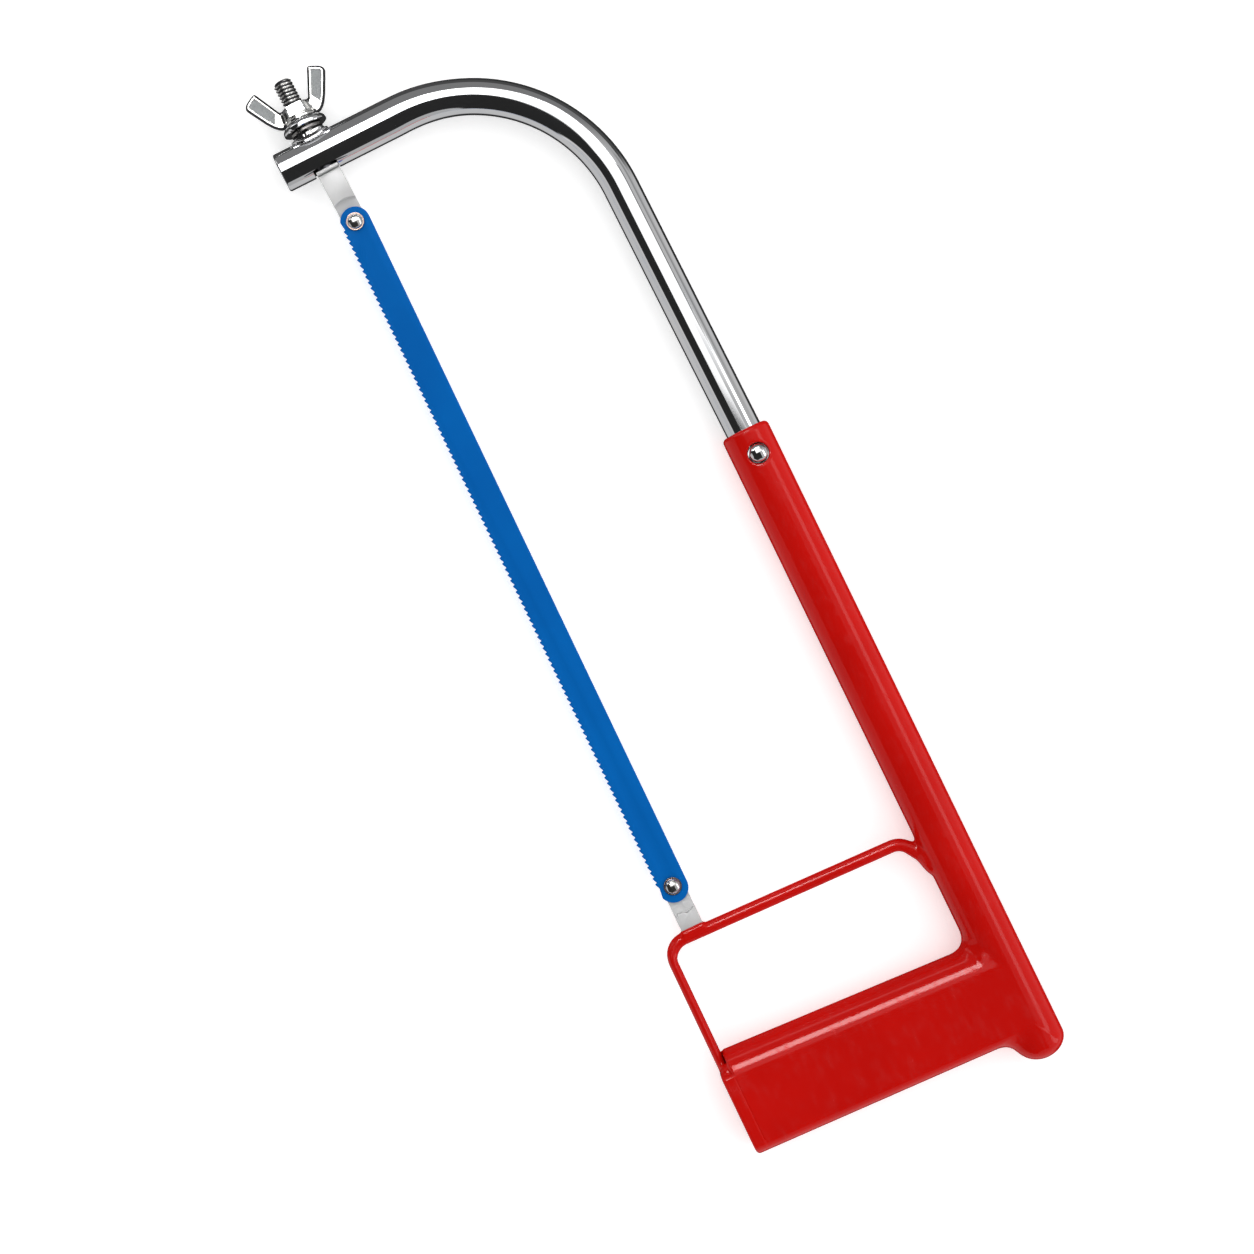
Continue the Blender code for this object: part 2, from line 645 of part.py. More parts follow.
def build_wing_nut(tension):
    nut = rod_along_x("wing_nut", HUB_OUTER - NUT_CENTRE, HUB_INNER - NUT_CENTRE,
                      HUB_OUTER_RADIUS, PARTS, sides=6, end_radius=HUB_INNER_RADIUS)
    place(nut, tension, (NUT_CENTRE, 0.0, 0.0))
    for side, name in ((1, "upper_wing"), (-1, "lower_wing")):
        outline = [(x * MM - NUT_CENTRE, side * y * MM) for x, y in WING_OUTLINE_MM]
        wing = plate(name, outline, WING_THICKNESS / 2, CUTTERS)
        place(wing, tension, (NUT_CENTRE, 0.0, 0.0))
        join(nut, wing)
    bore = rod_along_x("nut_bore", HUB_OUTER - NUT_CENTRE - CUT_MARGIN,
                       HUB_INNER - NUT_CENTRE + CUT_MARGIN, NUT_BORE, CUTTERS)
    place(as_cutter(bore), tension, (NUT_CENTRE, 0.0, 0.0))
    cut(nut, bore)
    finish(nut, CHROME, 1.0, 0.2)


def build_washers(tension, leg_skin):
    quarter = (0.0, math.pi / 2, 0.0)
    start, end = DOME_WASHER
    height = end - start
    span = DOME_WASHER_RADIUS - DOME_WASHER_FACE_RADIUS
    rise = height - DOME_WASHER_RIM
    dome = [(WASHER_BORE, height)]
    steps = 5
    for step in range(steps + 1):
        angle = math.pi / 2 * (1 - step / steps)
        dome.append((DOME_WASHER_FACE_RADIUS + span * math.cos(angle),
                     DOME_WASHER_RIM + rise * math.sin(angle)))
    dome += [(DOME_WASHER_RADIUS, 0.0), (WASHER_BORE, 0.0)]
    washer = turned("dome_washer", dome, True, PARTS)
    place(washer, tension, (end, 0.0, 0.0), (0.0, -math.pi / 2, 0.0))
    finish(washer, CHROME, 1.0, 0.12)

    start, end = LOCK_WASHER
    ring = [(LOCK_WASHER_RADIUS, end - start), (LOCK_WASHER_RADIUS, 0.0), (WASHER_BORE, 0.0),
            (WASHER_BORE, end - start)]
    lock = turned("lock_washer", ring, True, PARTS)
    place(lock, tension, (start, 0.0, 0.0), quarter)
    split = block("washer_split", (-CUT_MARGIN, 0.0, -LOCK_WASHER_SPLIT / 2),
                  (end - start + CUT_MARGIN, LOCK_WASHER_RADIUS + CUT_MARGIN, LOCK_WASHER_SPLIT / 2),
                  CUTTERS)
    place(as_cutter(split), tension, (start, 0.0, 0.0), (LOCK_WASHER_TURN, 0.0, 0.0))
    cut(lock, split)
    finish(lock, STEEL, 1.0, 0.35)

    saddle = rod_along_x("saddle_washer", SADDLE_OUTER, SADDLE_INNER, SADDLE_HALF_LENGTH, PARTS, 28)
    for vertex in saddle.data.vertices:
        vertex.co.z *= SADDLE_HALF_DEPTH / SADDLE_HALF_LENGTH
    place(saddle, tension)
    bore = rod_along_x("saddle_bore", SADDLE_OUTER - CUT_MARGIN, SADDLE_INNER + CUT_MARGIN,
                       WASHER_BORE, CUTTERS)
    place(as_cutter(bore), tension)
    cut(saddle, leg_skin, bore)
    finish(saddle, CHROME, 1.0, 0.15)


# ---------------------------------------------------------------- guard and rear holder

def foot_share(x, y):
    """0 on the upright of the guard rod, 1 on its foot, easing round the heel."""
    return ease((x - GUARD_HEEL[0]) / GUARD_BEND) * ease((0.0 - y) / GUARD_BEND)


def guard_bar(name, growth, collection):
    path = rounded_path([GUARD_TOP, GUARD_KNEE, GUARD_HEEL, GUARD_TOE], GUARD_BEND, 6)
    thin = GUARD_FOOT_HALF_HEIGHT - GUARD_RADIUS
    radii = [GUARD_RADIUS + growth + thin * foot_share(x, y) for x, y in path]
    bar = pipe(name, path, radii, collection, 4, True)
    ratio = (GUARD_FOOT_HALF_DEPTH + growth) / (GUARD_FOOT_HALF_HEIGHT + growth)
    press_oval(bar, foot_share, ratio)
    return bar


def build_guard(datum, sleeve_skin):
    bar = guard_bar("guard_rod", 0.0, PARTS)
    place(bar, datum)
    cut(bar, sleeve_skin)
    finish(bar, PAINT_RED, 0.0, 0.25)


def build_rear_holder(datum, guard_skin):
    outline = strip_outline(HOLDER_REAR_X, HOLDER_FRONT_X, HOLDER_HALF_WIDTH)
    holder = holder_strip("rear_blade_holder", outline, HOLDER_TOP_Z, PARTS)
    place(holder, datum)
    wide = HOLDER_HALF_WIDTH + CUT_MARGIN
    high = HOLDER_TOP_Z + CUT_MARGIN
    seat = block("rear_seat", (HOLDER_FRONT_X - CUT_MARGIN, -wide, SEAT_Z),
                 (HOLDER_STEP_X, wide, high), CUTTERS)
    eye = post("holder_eye", STRIP_BOTTOM_Z - CUT_MARGIN, high, PIN_HOLE_RADIUS, CUTTERS)
    place(as_cutter(seat), datum)
    place(as_cutter(eye), datum, (PIN_SPACING / 2, 0.0, 0.0))
    cut(holder, seat, eye, guard_skin)
    finish(holder, STEEL, 1.0, 0.3)


def build_bead(name, datum, centre, half_sizes, neighbours):
    weld = bead(name, centre, half_sizes, PARTS)
    place(weld, datum)
    cut(weld, *neighbours)
    finish(weld, PAINT_RED, 0.0, 0.3)


# ---------------------------------------------------------------- grip

def grip_levels():
    """Heights up the grip, each with the grip's front and rear ends and their rounding there."""
    levels = []

    def add(y, flare, front=None, front_round=GRIP_FRONT_ROUND):
        straight_front = GRIP_FRONT_X + GRIP_FRONT_SLOPE * y
        front = straight_front - flare if front is None else front - flare
        rear = GRIP_REAR_X + GRIP_REAR_SLOPE * y + flare
        grow = max(flare, 0.0)
        levels.append((y, front, front_round + grow, rear, GRIP_REAR_ROUND + grow))

    add(GRIP_BOTTOM_Y, -GRIP_END_CHAMFER, TOE_STEP_X, TOE_STEP_ROUND)
    add(GRIP_BOTTOM_Y + GRIP_END_CHAMFER, 0.0, TOE_STEP_X, TOE_STEP_ROUND)
    add(TOE_STEP_Y - GAP / 2, 0.0, TOE_STEP_X, TOE_STEP_ROUND)
    for y in (TOE_STEP_Y + GAP / 2, *GRIP_LEVELS):
        add(y, 0.0)
    for angle in GRIP_FLARE_TURNS:
        turn = math.radians(angle)
        rise = GRIP_FLARE * math.sin(turn)
        add(GRIP_FLARE_Y - GRIP_FLARE + rise, GRIP_FLARE * (1 - math.cos(turn)))
    add(GRIP_TOP_Y, GRIP_FLARE * (1 - math.cos(turn)))
    return levels


def grip_section(y, front, front_round, rear, rear_round, side):
    """Half the grip's outline across its length, from the front round to the rear."""
    seam = GAP / 2
    depth = GRIP_HALF_DEPTH - seam
    section = []
    steps = 6
    for step in range(steps + 1):
        angle = math.pi / 2 * step / steps
        x = front + front_round * (1 - math.cos(angle))
        section.append((x, y, side * (seam + depth * math.sin(angle))))
    for step in range(steps + 1):
        angle = math.pi / 2 * (1 - step / steps)
        x = rear - rear_round * (1 - math.cos(angle))
        section.append((x, y, side * (seam + depth * math.sin(angle))))
    return section


def build_grip_shell(name, datum, side, cutters):
    """Pressed half shell of the grip: an open skin lofted up the grip, closed at its lower end."""
    cage = bmesh.new()
    rows = []
    for level in grip_levels():
        rows.append([cage.verts.new(point) for point in grip_section(*level, side)])
    for lower, upper in zip(rows, rows[1:]):
        for index in range(len(lower) - 1):
            cage.faces.new([lower[index], lower[index + 1], upper[index + 1], upper[index]][::side])
    cage.faces.new(rows[0][::-side])
    mesh = bpy.data.meshes.new(name)
    cage.to_mesh(mesh)
    cage.free()
    shell = mesh_object(name, mesh, PARTS)
    wall = shell.modifiers.new("sheet", "SOLIDIFY")
    wall.thickness = GRIP_WALL
    wall.offset = -1.0
    wall.use_even_offset = True
    place(shell, datum)
    low_x, high_x = GRIP_FRONT_X - GRIP_TRIM_MARGIN, GRIP_REAR_X + GRIP_TRIM_MARGIN
    low_y, high_y = GRIP_BOTTOM_Y - GRIP_TRIM_MARGIN, GRIP_TOP_Y + GRIP_TRIM_MARGIN
    seam = side * GAP / 3
    beyond = -side * 2 * GRIP_HALF_DEPTH
    trim = block(name + "_trim", (low_x, low_y, min(seam, beyond)), (high_x, high_y, max(seam, beyond)),
                 CUTTERS)
    place(as_cutter(trim), datum)
    cut(shell, trim, *cutters)
    finish(shell, PAINT_RED, 0.0, 0.25)


# ---------------------------------------------------------------- the whole saw

clear_scene()
PARTS = new_collection("hacksaw")
CUTTERS = new_collection("cutters")

datum = new_empty("saw_datum", None, (DATUM_X, DATUM_Y, SLEEVE_RADIUS))
spine = new_empty("spine_axis", datum, (0.0, SLEEVE_AXIS_Y, 0.0), SLEEVE_SLOPE)
front = new_empty("front_tube_corner", datum, (*FRONT_TUBE_CORNER, 0.0), FRONT_TUBE_TILT)
tension = new_empty("tension_axis", datum, (-PIN_SPACING / 2, 0.0, 0.0), TENSION_TILT)

sleeve_skin = as_cutter(rod_along_x("sleeve_skin", SLEEVE_MOUTH_X, SLEEVE_END_X + CAP_LENGTH,
                                    SLEEVE_RADIUS + GAP, CUTTERS, 56))
place(sleeve_skin, spine)
leg_skin = as_cutter(front_tube_surface("leg_skin", [(0.0, LEG_SKIN_FROM), (0.0, LEG_SKIN_TO)],
                                        GAP, CUTTERS, True))
place(leg_skin, front)
guard_skin = as_cutter(guard_bar("guard_skin", GAP, CUTTERS))
place(guard_skin, datum)
button_hole = as_cutter(post("button_hole", 0.0, BUTTON_TOP_Z + CUT_MARGIN, BUTTON_HOLE_RADIUS,
                             CUTTERS))
place(button_hole, datum, (BUTTON_X, BUTTON_Y, 0.0))
bolt_hole = as_cutter(rod_along_x("bolt_hole", BOLT_HOLE_FROM, BOLT_HOLE_TO, WASHER_BORE, CUTTERS))
place(bolt_hole, tension)
holder_wide = HOLDER_HALF_WIDTH + CUT_MARGIN
holder_skin = as_cutter(block("holder_skin", (HOLDER_FRONT_X, -holder_wide, STRIP_BOTTOM_Z - GAP),
                              (HOLDER_REAR_X + GAP, holder_wide, HOLDER_TOP_Z + CUT_MARGIN), CUTTERS))
place(holder_skin, datum)
leg_punch = leg_opening_cutter(tension)

build_sleeve(spine, button_hole)
build_end_cap(spine)
build_front_tube(front, [leg_punch, bolt_hole, button_hole])
build_button(datum)
build_spring(datum)
build_blade(datum)
build_blade_pin("front_blade_pin", datum, -PIN_SPACING / 2)
build_blade_pin("rear_blade_pin", datum, PIN_SPACING / 2)
build_tension_bolt(tension)
build_wing_nut(tension)
build_washers(tension, leg_skin)
build_guard(datum, sleeve_skin)
build_rear_holder(datum, guard_skin)
build_grip_shell("grip_shell_near", datum, 1, [sleeve_skin])
build_grip_shell("grip_shell_far", datum, -1, [sleeve_skin])
build_bead("guard_top_weld", datum, GUARD_WELD_CENTRE, GUARD_WELD_SIZE, [sleeve_skin, guard_skin])
build_bead("holder_weld", datum, HOLDER_WELD_CENTRE, HOLDER_WELD_SIZE, [holder_skin, guard_skin])
for side, name in ((1, "toe_weld_near"), (-1, "toe_weld_far")):
    x, y, z = TOE_WELD_CENTRE
    build_bead(name, datum, (x, y, side * z), TOE_WELD_SIZE, [])
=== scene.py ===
"""Looks for the hacksaw: painted weldment, chromed tube, tension hardware and painted blade."""

import math

import bmesh
import bpy
import numpy as np
from mathutils import Matrix, Vector


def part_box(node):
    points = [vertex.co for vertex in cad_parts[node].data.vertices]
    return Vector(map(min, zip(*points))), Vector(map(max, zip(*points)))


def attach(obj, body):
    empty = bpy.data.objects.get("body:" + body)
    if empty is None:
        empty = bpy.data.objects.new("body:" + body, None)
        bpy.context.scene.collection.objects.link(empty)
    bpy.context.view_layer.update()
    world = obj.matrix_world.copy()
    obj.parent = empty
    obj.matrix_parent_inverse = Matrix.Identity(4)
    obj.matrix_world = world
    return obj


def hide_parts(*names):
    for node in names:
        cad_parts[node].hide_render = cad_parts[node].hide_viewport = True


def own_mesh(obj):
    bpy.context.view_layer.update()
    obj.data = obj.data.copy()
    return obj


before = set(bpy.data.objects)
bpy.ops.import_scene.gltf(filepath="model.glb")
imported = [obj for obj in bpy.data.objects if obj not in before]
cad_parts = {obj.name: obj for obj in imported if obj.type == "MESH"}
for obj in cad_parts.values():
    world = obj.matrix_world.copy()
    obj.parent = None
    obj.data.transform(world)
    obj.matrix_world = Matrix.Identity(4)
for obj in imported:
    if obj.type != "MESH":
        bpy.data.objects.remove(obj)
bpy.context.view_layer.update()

bpy.context.scene.view_settings.view_transform = "Standard"

# ------------------------------------------------------------------ the saw's own axes, in mm


def middle(node):
    low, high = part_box(node)
    return (Vector(low) + Vector(high)) / 2


FRONT_EYE = middle("front_blade_pin")
REAR_EYE = middle("rear_blade_pin")
SPINE_MIDDLE = middle("outer_tube")
DATUM = Vector(((FRONT_EYE.x + REAR_EYE.x) / 2, FRONT_EYE.y, SPINE_MIDDLE.z))
HALF_SPAN = (REAR_EYE.x - FRONT_EYE.x) * 500.0
TENSION_TILT = math.radians(2.4)
TENSION = Matrix.Translation((-HALF_SPAN, 0.0, 0.0)) @ Matrix.Rotation(TENSION_TILT, 4, "Z")
SPINE_SLOPE = math.radians(0.37)
SPINE_Y = 106.4
TUBE_R = 10.15
LEG = Matrix.Translation((-183.2, 102.35, 0.0)) @ Matrix.Rotation(math.radians(1.22), 4, "Z")
BEND = 67.2
PRESS_START, PRESS_END = -38.0, -74.0
LEG_LENGTH = 121.1
BACK_LENGTH = 228.2
BACK_R = 7.45
LEG_R = 8.2
LEG_DEPTH = 6.9
STUD_HOLE_R = 4.3
EYE_R = 2.3
BLADE_HALF_WIDTH = 6.2
BLADE_HALF_THICKNESS = 0.325
SEAT_Z = -0.625
STRIP_HALF_WIDTH = 4.85
HOLDER_HALF_WIDTH = 4.65
EDGE_WIDTH = 0.15


def ease(value):
    value = np.clip(value, 0.0, 1.0)
    return value * value * (3.0 - 2.0 * value)


def to_row(points, place=None):
    """Points in mm, in the saw's axes or in those of place, as metres in the row frame."""
    points = np.asarray(points, float).reshape(-1, 3)
    if place is not None:
        m = np.array(place)
        points = points @ m[:3, :3].T + m[:3, 3]
    return points * 0.001 + np.array(DATUM)


# ------------------------------------------------------------------ building pieces


def new_piece(name, points, faces, materials, place=None, normals=None, marks=None, angle=35):
    mesh = bpy.data.meshes.new(name)
    mesh.from_pydata(to_row(points, place).tolist(), [], [list(map(int, f)) for f in faces])
    mesh.validate()
    for material in materials:
        mesh.materials.append(material)
    if marks is not None:
        mesh.polygons.foreach_set("material_index", np.asarray(marks, np.int32))
    mesh.shade_smooth()
    if normals is None:
        mesh.set_sharp_from_angle(angle=math.radians(angle))
    else:
        if place is not None:
            normals = normals @ np.array(place)[:3, :3].T
        mesh.normals_split_custom_set_from_vertices(normals.tolist())
    item = bpy.data.objects.new(name, mesh)
    bpy.context.scene.collection.objects.link(item)
    return item


def settle(item, body, slot, *nodes):
    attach(item, body)
    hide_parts(*nodes)
    return item


def face_outward(item, clean=False):
    """Turn the faces outward. With clean, first join the points that meet on the axis."""
    cage = bmesh.new()
    cage.from_mesh(item.data)
    if clean:
        bmesh.ops.remove_doubles(cage, verts=cage.verts, dist=1e-7)
        bmesh.ops.dissolve_degenerate(cage, edges=cage.edges, dist=1e-8)
    bmesh.ops.recalc_face_normals(cage, faces=cage.faces)
    cage.to_mesh(item.data)
    cage.free()


def smooth(mesh):
    mesh.shade_smooth()
    mesh.set_sharp_from_angle(angle=math.radians(35))


def grid_faces(rows, columns, wrap_rows, wrap_columns):
    """Quads over a rows x columns lattice of points."""
    faces = []
    for i in range(rows if wrap_rows else rows - 1):
        for j in range(columns if wrap_columns else columns - 1):
            k, m = (i + 1) % rows, (j + 1) % columns
            faces.append((i * columns + j, i * columns + m, k * columns + m, k * columns + j))
    return faces


def turned(name, profile, materials, place, steps):
    """A profile of (radius, height) points spun about Z. It runs up the outside and closes on itself."""
    angle = np.arange(steps) / steps * 2 * math.pi
    points = []
    for radius, height in profile:
        ring = np.stack([radius * np.cos(angle), radius * np.sin(angle), np.full(steps, height)], 1)
        points.append(ring)
    points = np.concatenate(points)
    item = new_piece(name, points, grid_faces(len(profile), steps, True, True), materials, place)
    face_outward(item, clean=True)
    smooth(item.data)
    return item


def carve(item, *tools):
    """Cut the tools out of the item and apply it."""
    for tool in tools:
        modifier = item.modifiers.new("cut", "BOOLEAN")
        modifier.operation = "DIFFERENCE"
        modifier.solver = "EXACT"
        modifier.object = tool
    return apply_all(item, tools)


def apply_all(item, tools=()):
    bpy.context.view_layer.update()
    graph = bpy.context.evaluated_depsgraph_get()
    mesh = bpy.data.meshes.new_from_object(item.evaluated_get(graph))
    item.modifiers.clear()
    item.data = mesh
    for tool in tools:
        bpy.data.objects.remove(tool, do_unlink=True)
    smooth(mesh)
    return item


def slab(name, outline, low, high, place=None, materials=()):
    """A flat outline in XY between two heights."""
    count = len(outline)
    points = [(x, y, low) for x, y in outline] + [(x, y, high) for x, y in outline]
    faces = [list(range(count))[::-1], list(range(count, 2 * count))]
    for i in range(count):
        k = (i + 1) % count
        faces.append((i, k, count + k, count + i))
    item = new_piece(name, points, faces, materials, place)
    face_outward(item)
    return item


def arc(centre, radius, start, end, steps):
    points = []
    for step in range(steps + 1):
        turn = math.radians(start + (end - start) * step / steps)
        points.append((centre[0] + radius * math.cos(turn), centre[1] + radius * math.sin(turn)))
    return points


def circle(centre, radius, steps=48):
    return [(centre[0] + radius * math.cos(turn), centre[1] + radius * math.sin(turn))
            for turn in np.linspace(0, 2 * math.pi, steps + 1)[:-1]]


def soften(item, width):
    """Round the sharp edges, width in mm, and apply it."""
    bevel = item.modifiers.new("edge", "BEVEL")
    bevel.width = width * 0.001
    bevel.segments = 2
    bevel.limit_method = "ANGLE"
    bevel.angle_limit = math.radians(50)
    bevel.harden_normals = False
    return apply_all(item)


# ------------------------------------------------------------------ fields and their skins


def soft_union(a, b, reach):
    """Join two fields with a fillet that runs about reach along each."""
    blend = np.clip(reach - np.abs(a - b), 0.0, None) / np.maximum(reach, 1e-6)
    return np.minimum(a, b) - blend * blend * reach / 4


def soft_cut(a, b, reach):
    """The field a without b, with its edge rounded."""
    return -soft_union(-a, b, reach)


def skin(field, low, high, step):
    """A quad mesh on the surface where the field is 0, with its normals: one point in each cell that the
    surface crosses, one face across each lattice edge that it crosses, then a few steps onto the surface."""
    axes = [np.arange(l, h + step, step) for l, h in zip(low, high)]
    x, y, z = (a.reshape(s) for a, s in zip(axes, ((-1, 1, 1), (1, -1, 1), (1, 1, -1))))
    value = np.broadcast_to(field(x, y, z), [len(a) for a in axes]).astype(np.float32)
    inside = value < 0
    cells = tuple(n - 1 for n in value.shape)
    total = np.zeros(cells + (3,), np.float32)
    count = np.zeros(cells, np.int8)
    for axis in range(3):
        others = [a for a in range(3) if a != axis]
        for u in (0, 1):
            for v in (0, 1):
                a, b = [slice(None)] * 3, [slice(None)] * 3
                a[axis], b[axis] = slice(0, -1), slice(1, None)
                for other, shift in zip(others, (u, v)):
                    a[other] = b[other] = slice(shift, shift + cells[other])
                va, vb = value[tuple(a)], value[tuple(b)]
                crossed = (va < 0) != (vb < 0)
                share = np.where(crossed, va / np.where(crossed, va - vb, 1), 0)
                total[..., axis] += share
                for other, shift in zip(others, (u, v)):
                    total[..., other] += crossed * shift
                count += crossed
    used = count > 0
    index = np.full(cells, -1, np.int64)
    index[used] = np.arange(int(used.sum()))
    corner = np.stack(np.nonzero(used), 1)
    points = (corner + total[used] / count[used][:, None]) * step + np.array(low)
    faces = []
    for axis in range(3):
        u, v = [a for a in range(3) if a != axis]
        a, b = [slice(None)] * 3, [slice(None)] * 3
        a[axis], b[axis] = slice(0, -1), slice(1, None)
        for other in (u, v):
            a[other] = b[other] = slice(1, -1)
        ia, ib = inside[tuple(a)], inside[tuple(b)]
        where = np.stack(np.nonzero(ia != ib), 1)
        where[:, u] += 1
        where[:, v] += 1
        leaving = inside[tuple(where.T)]
        around = []
        for du, dv in ((-1, -1), (0, -1), (0, 0), (-1, 0)):
            c = where.copy()
            c[:, u] += du
            c[:, v] += dv
            around.append(index[tuple(c.T)])
        quads = np.stack(around, 1)
        flip = leaving if axis != 1 else ~leaving
        quads[~flip] = quads[~flip][:, ::-1]
        faces.append(quads)
    faces = np.concatenate(faces)
    for _ in range(4):
        distance, slope = field_slope(field, points, step * 0.1)
        size = np.maximum((slope**2).sum(1), 0.05)
        move = -(distance / size)[:, None] * slope
        length = np.maximum(np.linalg.norm(move, axis=1), 1e-9)
        points += move * np.minimum(1.0, 0.4 * step / length)[:, None]
    slope = field_slope(field, points, step * 0.15)[1]
    normals = slope / np.maximum(np.linalg.norm(slope, axis=1), 1e-9)[:, None]
    return points, faces, normals


def field_slope(field, points, reach):
    here = field(points[:, 0], points[:, 1], points[:, 2])
    slope = np.zeros_like(points)
    for axis in range(3):
        shift = np.zeros(3)
        shift[axis] = reach
        ahead, behind = points + shift, points - shift
        slope[:, axis] = (field(*ahead.T) - field(*behind.T)) / (2 * reach)
    return here, slope


def polygon_field(outline, x, y):
    """Signed distance to a closed outline in the plane, negative inside."""
    shape = np.broadcast(x, y).shape
    x, y = np.broadcast_to(x, shape), np.broadcast_to(y, shape)
    best = np.full(shape, 1e9)
    inside = np.zeros(shape, bool)
    for (ax, ay), (bx, by) in zip(outline, outline[1:] + outline[:1]):
        ex, ey = bx - ax, by - ay
        t = np.clip(((x - ax) * ex + (y - ay) * ey) / max(ex * ex + ey * ey, 1e-12), 0, 1)
        best = np.minimum(best, (x - ax - t * ex) ** 2 + (y - ay - t * ey) ** 2)
        crosses = ((ay > y) != (by > y)) & (x < ex * (y - ay) / (ey if abs(ey) > 1e-12 else 1e-12) + ax)
        inside ^= crosses
    return np.where(inside, -1.0, 1.0) * np.sqrt(best)


def rounded_path(corners, radius, steps):
    """A path through the corners, with each inner corner turned by an arc."""
    path = [Vector(corners[0])]
    for before, here, after in zip(corners, corners[1:], corners[2:]):
        here = Vector(here)
        to_before = (Vector(before) - here).normalized()
        to_after = (Vector(after) - here).normalized()
        half_angle = to_before.angle(to_after) / 2
        bisector = (to_before + to_after).normalized()
        centre = here + bisector * radius / math.sin(half_angle)
        first = here + to_before * radius / math.tan(half_angle) - centre
        turn = to_before.angle_signed(-to_after)
        for step in range(steps + 1):
            spoke = first.copy()
            spoke.rotate(Matrix.Rotation(-turn * step / steps, 2))
            path.append(centre + spoke)
    path.append(Vector(corners[-1]))
    return path


def path_field(path, x, y):
    """Distance in the plane to an open path, with the nearest point on it."""
    shape = np.broadcast(x, y).shape
    x, y = np.broadcast_to(x, shape), np.broadcast_to(y, shape)
    best, near_x, near_y = np.full(shape, 1e9), np.zeros(shape), np.zeros(shape)
    for a, b in zip(path, path[1:]):
        edge = b - a
        t = np.clip(((x - a.x) * edge.x + (y - a.y) * edge.y) / edge.length_squared, 0, 1)
        px, py = a.x + t * edge.x, a.y + t * edge.y
        square = (x - px) ** 2 + (y - py) ** 2
        closer = square < best
        best = np.where(closer, square, best)
        near_x, near_y = np.where(closer, px, near_x), np.where(closer, py, near_y)
    return np.sqrt(best), near_x, near_y


# ------------------------------------------------------------------ materials


class Nodes:
    """Short calls for wiring a node tree."""

    def __init__(self, tree):
        self.tree = tree

    def make(self, kind, **values):
        node = self.tree.nodes.new(kind)
        for key, value in values.items():
            setattr(node, key, value)
        return node

    def put(self, socket, value):
        if isinstance(value, bpy.types.NodeSocket):
            self.tree.links.new(value, socket)
        else:
            socket.default_value = value

    def sum(self, operation, a, b=0.0, c=0.0, clamp=False):
        node = self.make("ShaderNodeMath", operation=operation, use_clamp=clamp)
        for socket, value in zip(node.inputs, (a, b, c)):
            self.put(socket, value)
        return node.outputs[0]

    def rise(self, value, start, end, low=0.0, high=1.0):
        node = self.make("ShaderNodeMapRange", interpolation_type="SMOOTHSTEP")
        for socket, item in zip(node.inputs, (value, start, end, low, high)):
            self.put(socket, item)
        return node.outputs[0]

    def noise(self, place, scale, detail=3.0, rough=0.5, stretch=(1.0, 1.0, 1.0)):
        mapping = self.make("ShaderNodeMapping")
        self.put(mapping.inputs["Vector"], place)
        mapping.inputs["Scale"].default_value = stretch
        node = self.make("ShaderNodeTexNoise")
        self.put(node.inputs["Vector"], mapping.outputs[0])
        node.inputs["Scale"].default_value = scale
        node.inputs["Detail"].default_value = detail
        node.inputs["Roughness"].default_value = rough
        return node.outputs["Fac"]

    def blend(self, factor, a, b):
        node = self.make("ShaderNodeMix", data_type="RGBA")
        self.put(node.inputs["Factor"], factor)
        colour = [s for s in node.inputs if s.type == "RGBA"]
        self.put(colour[0], a)
        self.put(colour[1], b)
        return [s for s in node.outputs if s.type == "RGBA"][0]

    def bump(self, height, strength, distance, before=None):
        node = self.make("ShaderNodeBump")
        node.inputs["Strength"].default_value = strength
        node.inputs["Distance"].default_value = distance
        self.put(node.inputs["Height"], height)
        if before is not None:
            self.put(node.inputs["Normal"], before)
        return node.outputs[0]


def start_material(name, metallic, specular=0.5):
    material = bpy.data.materials.new(name)
    material.use_nodes = True
    nodes = Nodes(material.node_tree)
    shader = material.node_tree.nodes["Principled BSDF"]
    shader.inputs["Metallic"].default_value = metallic
    shader.inputs["Specular IOR Level"].default_value = specular
    place = nodes.make("ShaderNodeTexCoord").outputs["Object"]
    return material, nodes, shader, place


def paint(name, deep, bright, gloss, peel, specular):
    """Sprayed enamel: slight colour drift, orange peel, dust nibs and faint rubbing."""
    material, n, shader, place = start_material(name, 0.0, specular)
    drift = n.noise(place, 22.0, 4.0, 0.55)
    rub = n.noise(place, 160.0, 5.0, 0.7)
    colour = n.blend(n.rise(drift, 0.3, 0.72), (*deep, 1), (*bright, 1))
    n.put(shader.inputs["Base Color"], colour)
    scuff = n.noise(place, 420.0, 4.0, 0.65, (0.25, 1.0, 1.0))
    haze = n.rise(n.sum("MULTIPLY", rub, scuff), 0.22, 0.42, gloss, gloss + 0.16)
    n.put(shader.inputs["Roughness"], haze)
    orange = n.noise(place, 650.0, 2.0, 0.45)
    nibs = n.rise(n.noise(place, 1500.0, 1.0, 0.3), 0.70, 0.80)
    first = n.bump(orange, peel, 0.00008)
    n.put(shader.inputs["Normal"], n.bump(nibs, 0.12, 0.00005, first))
    return material


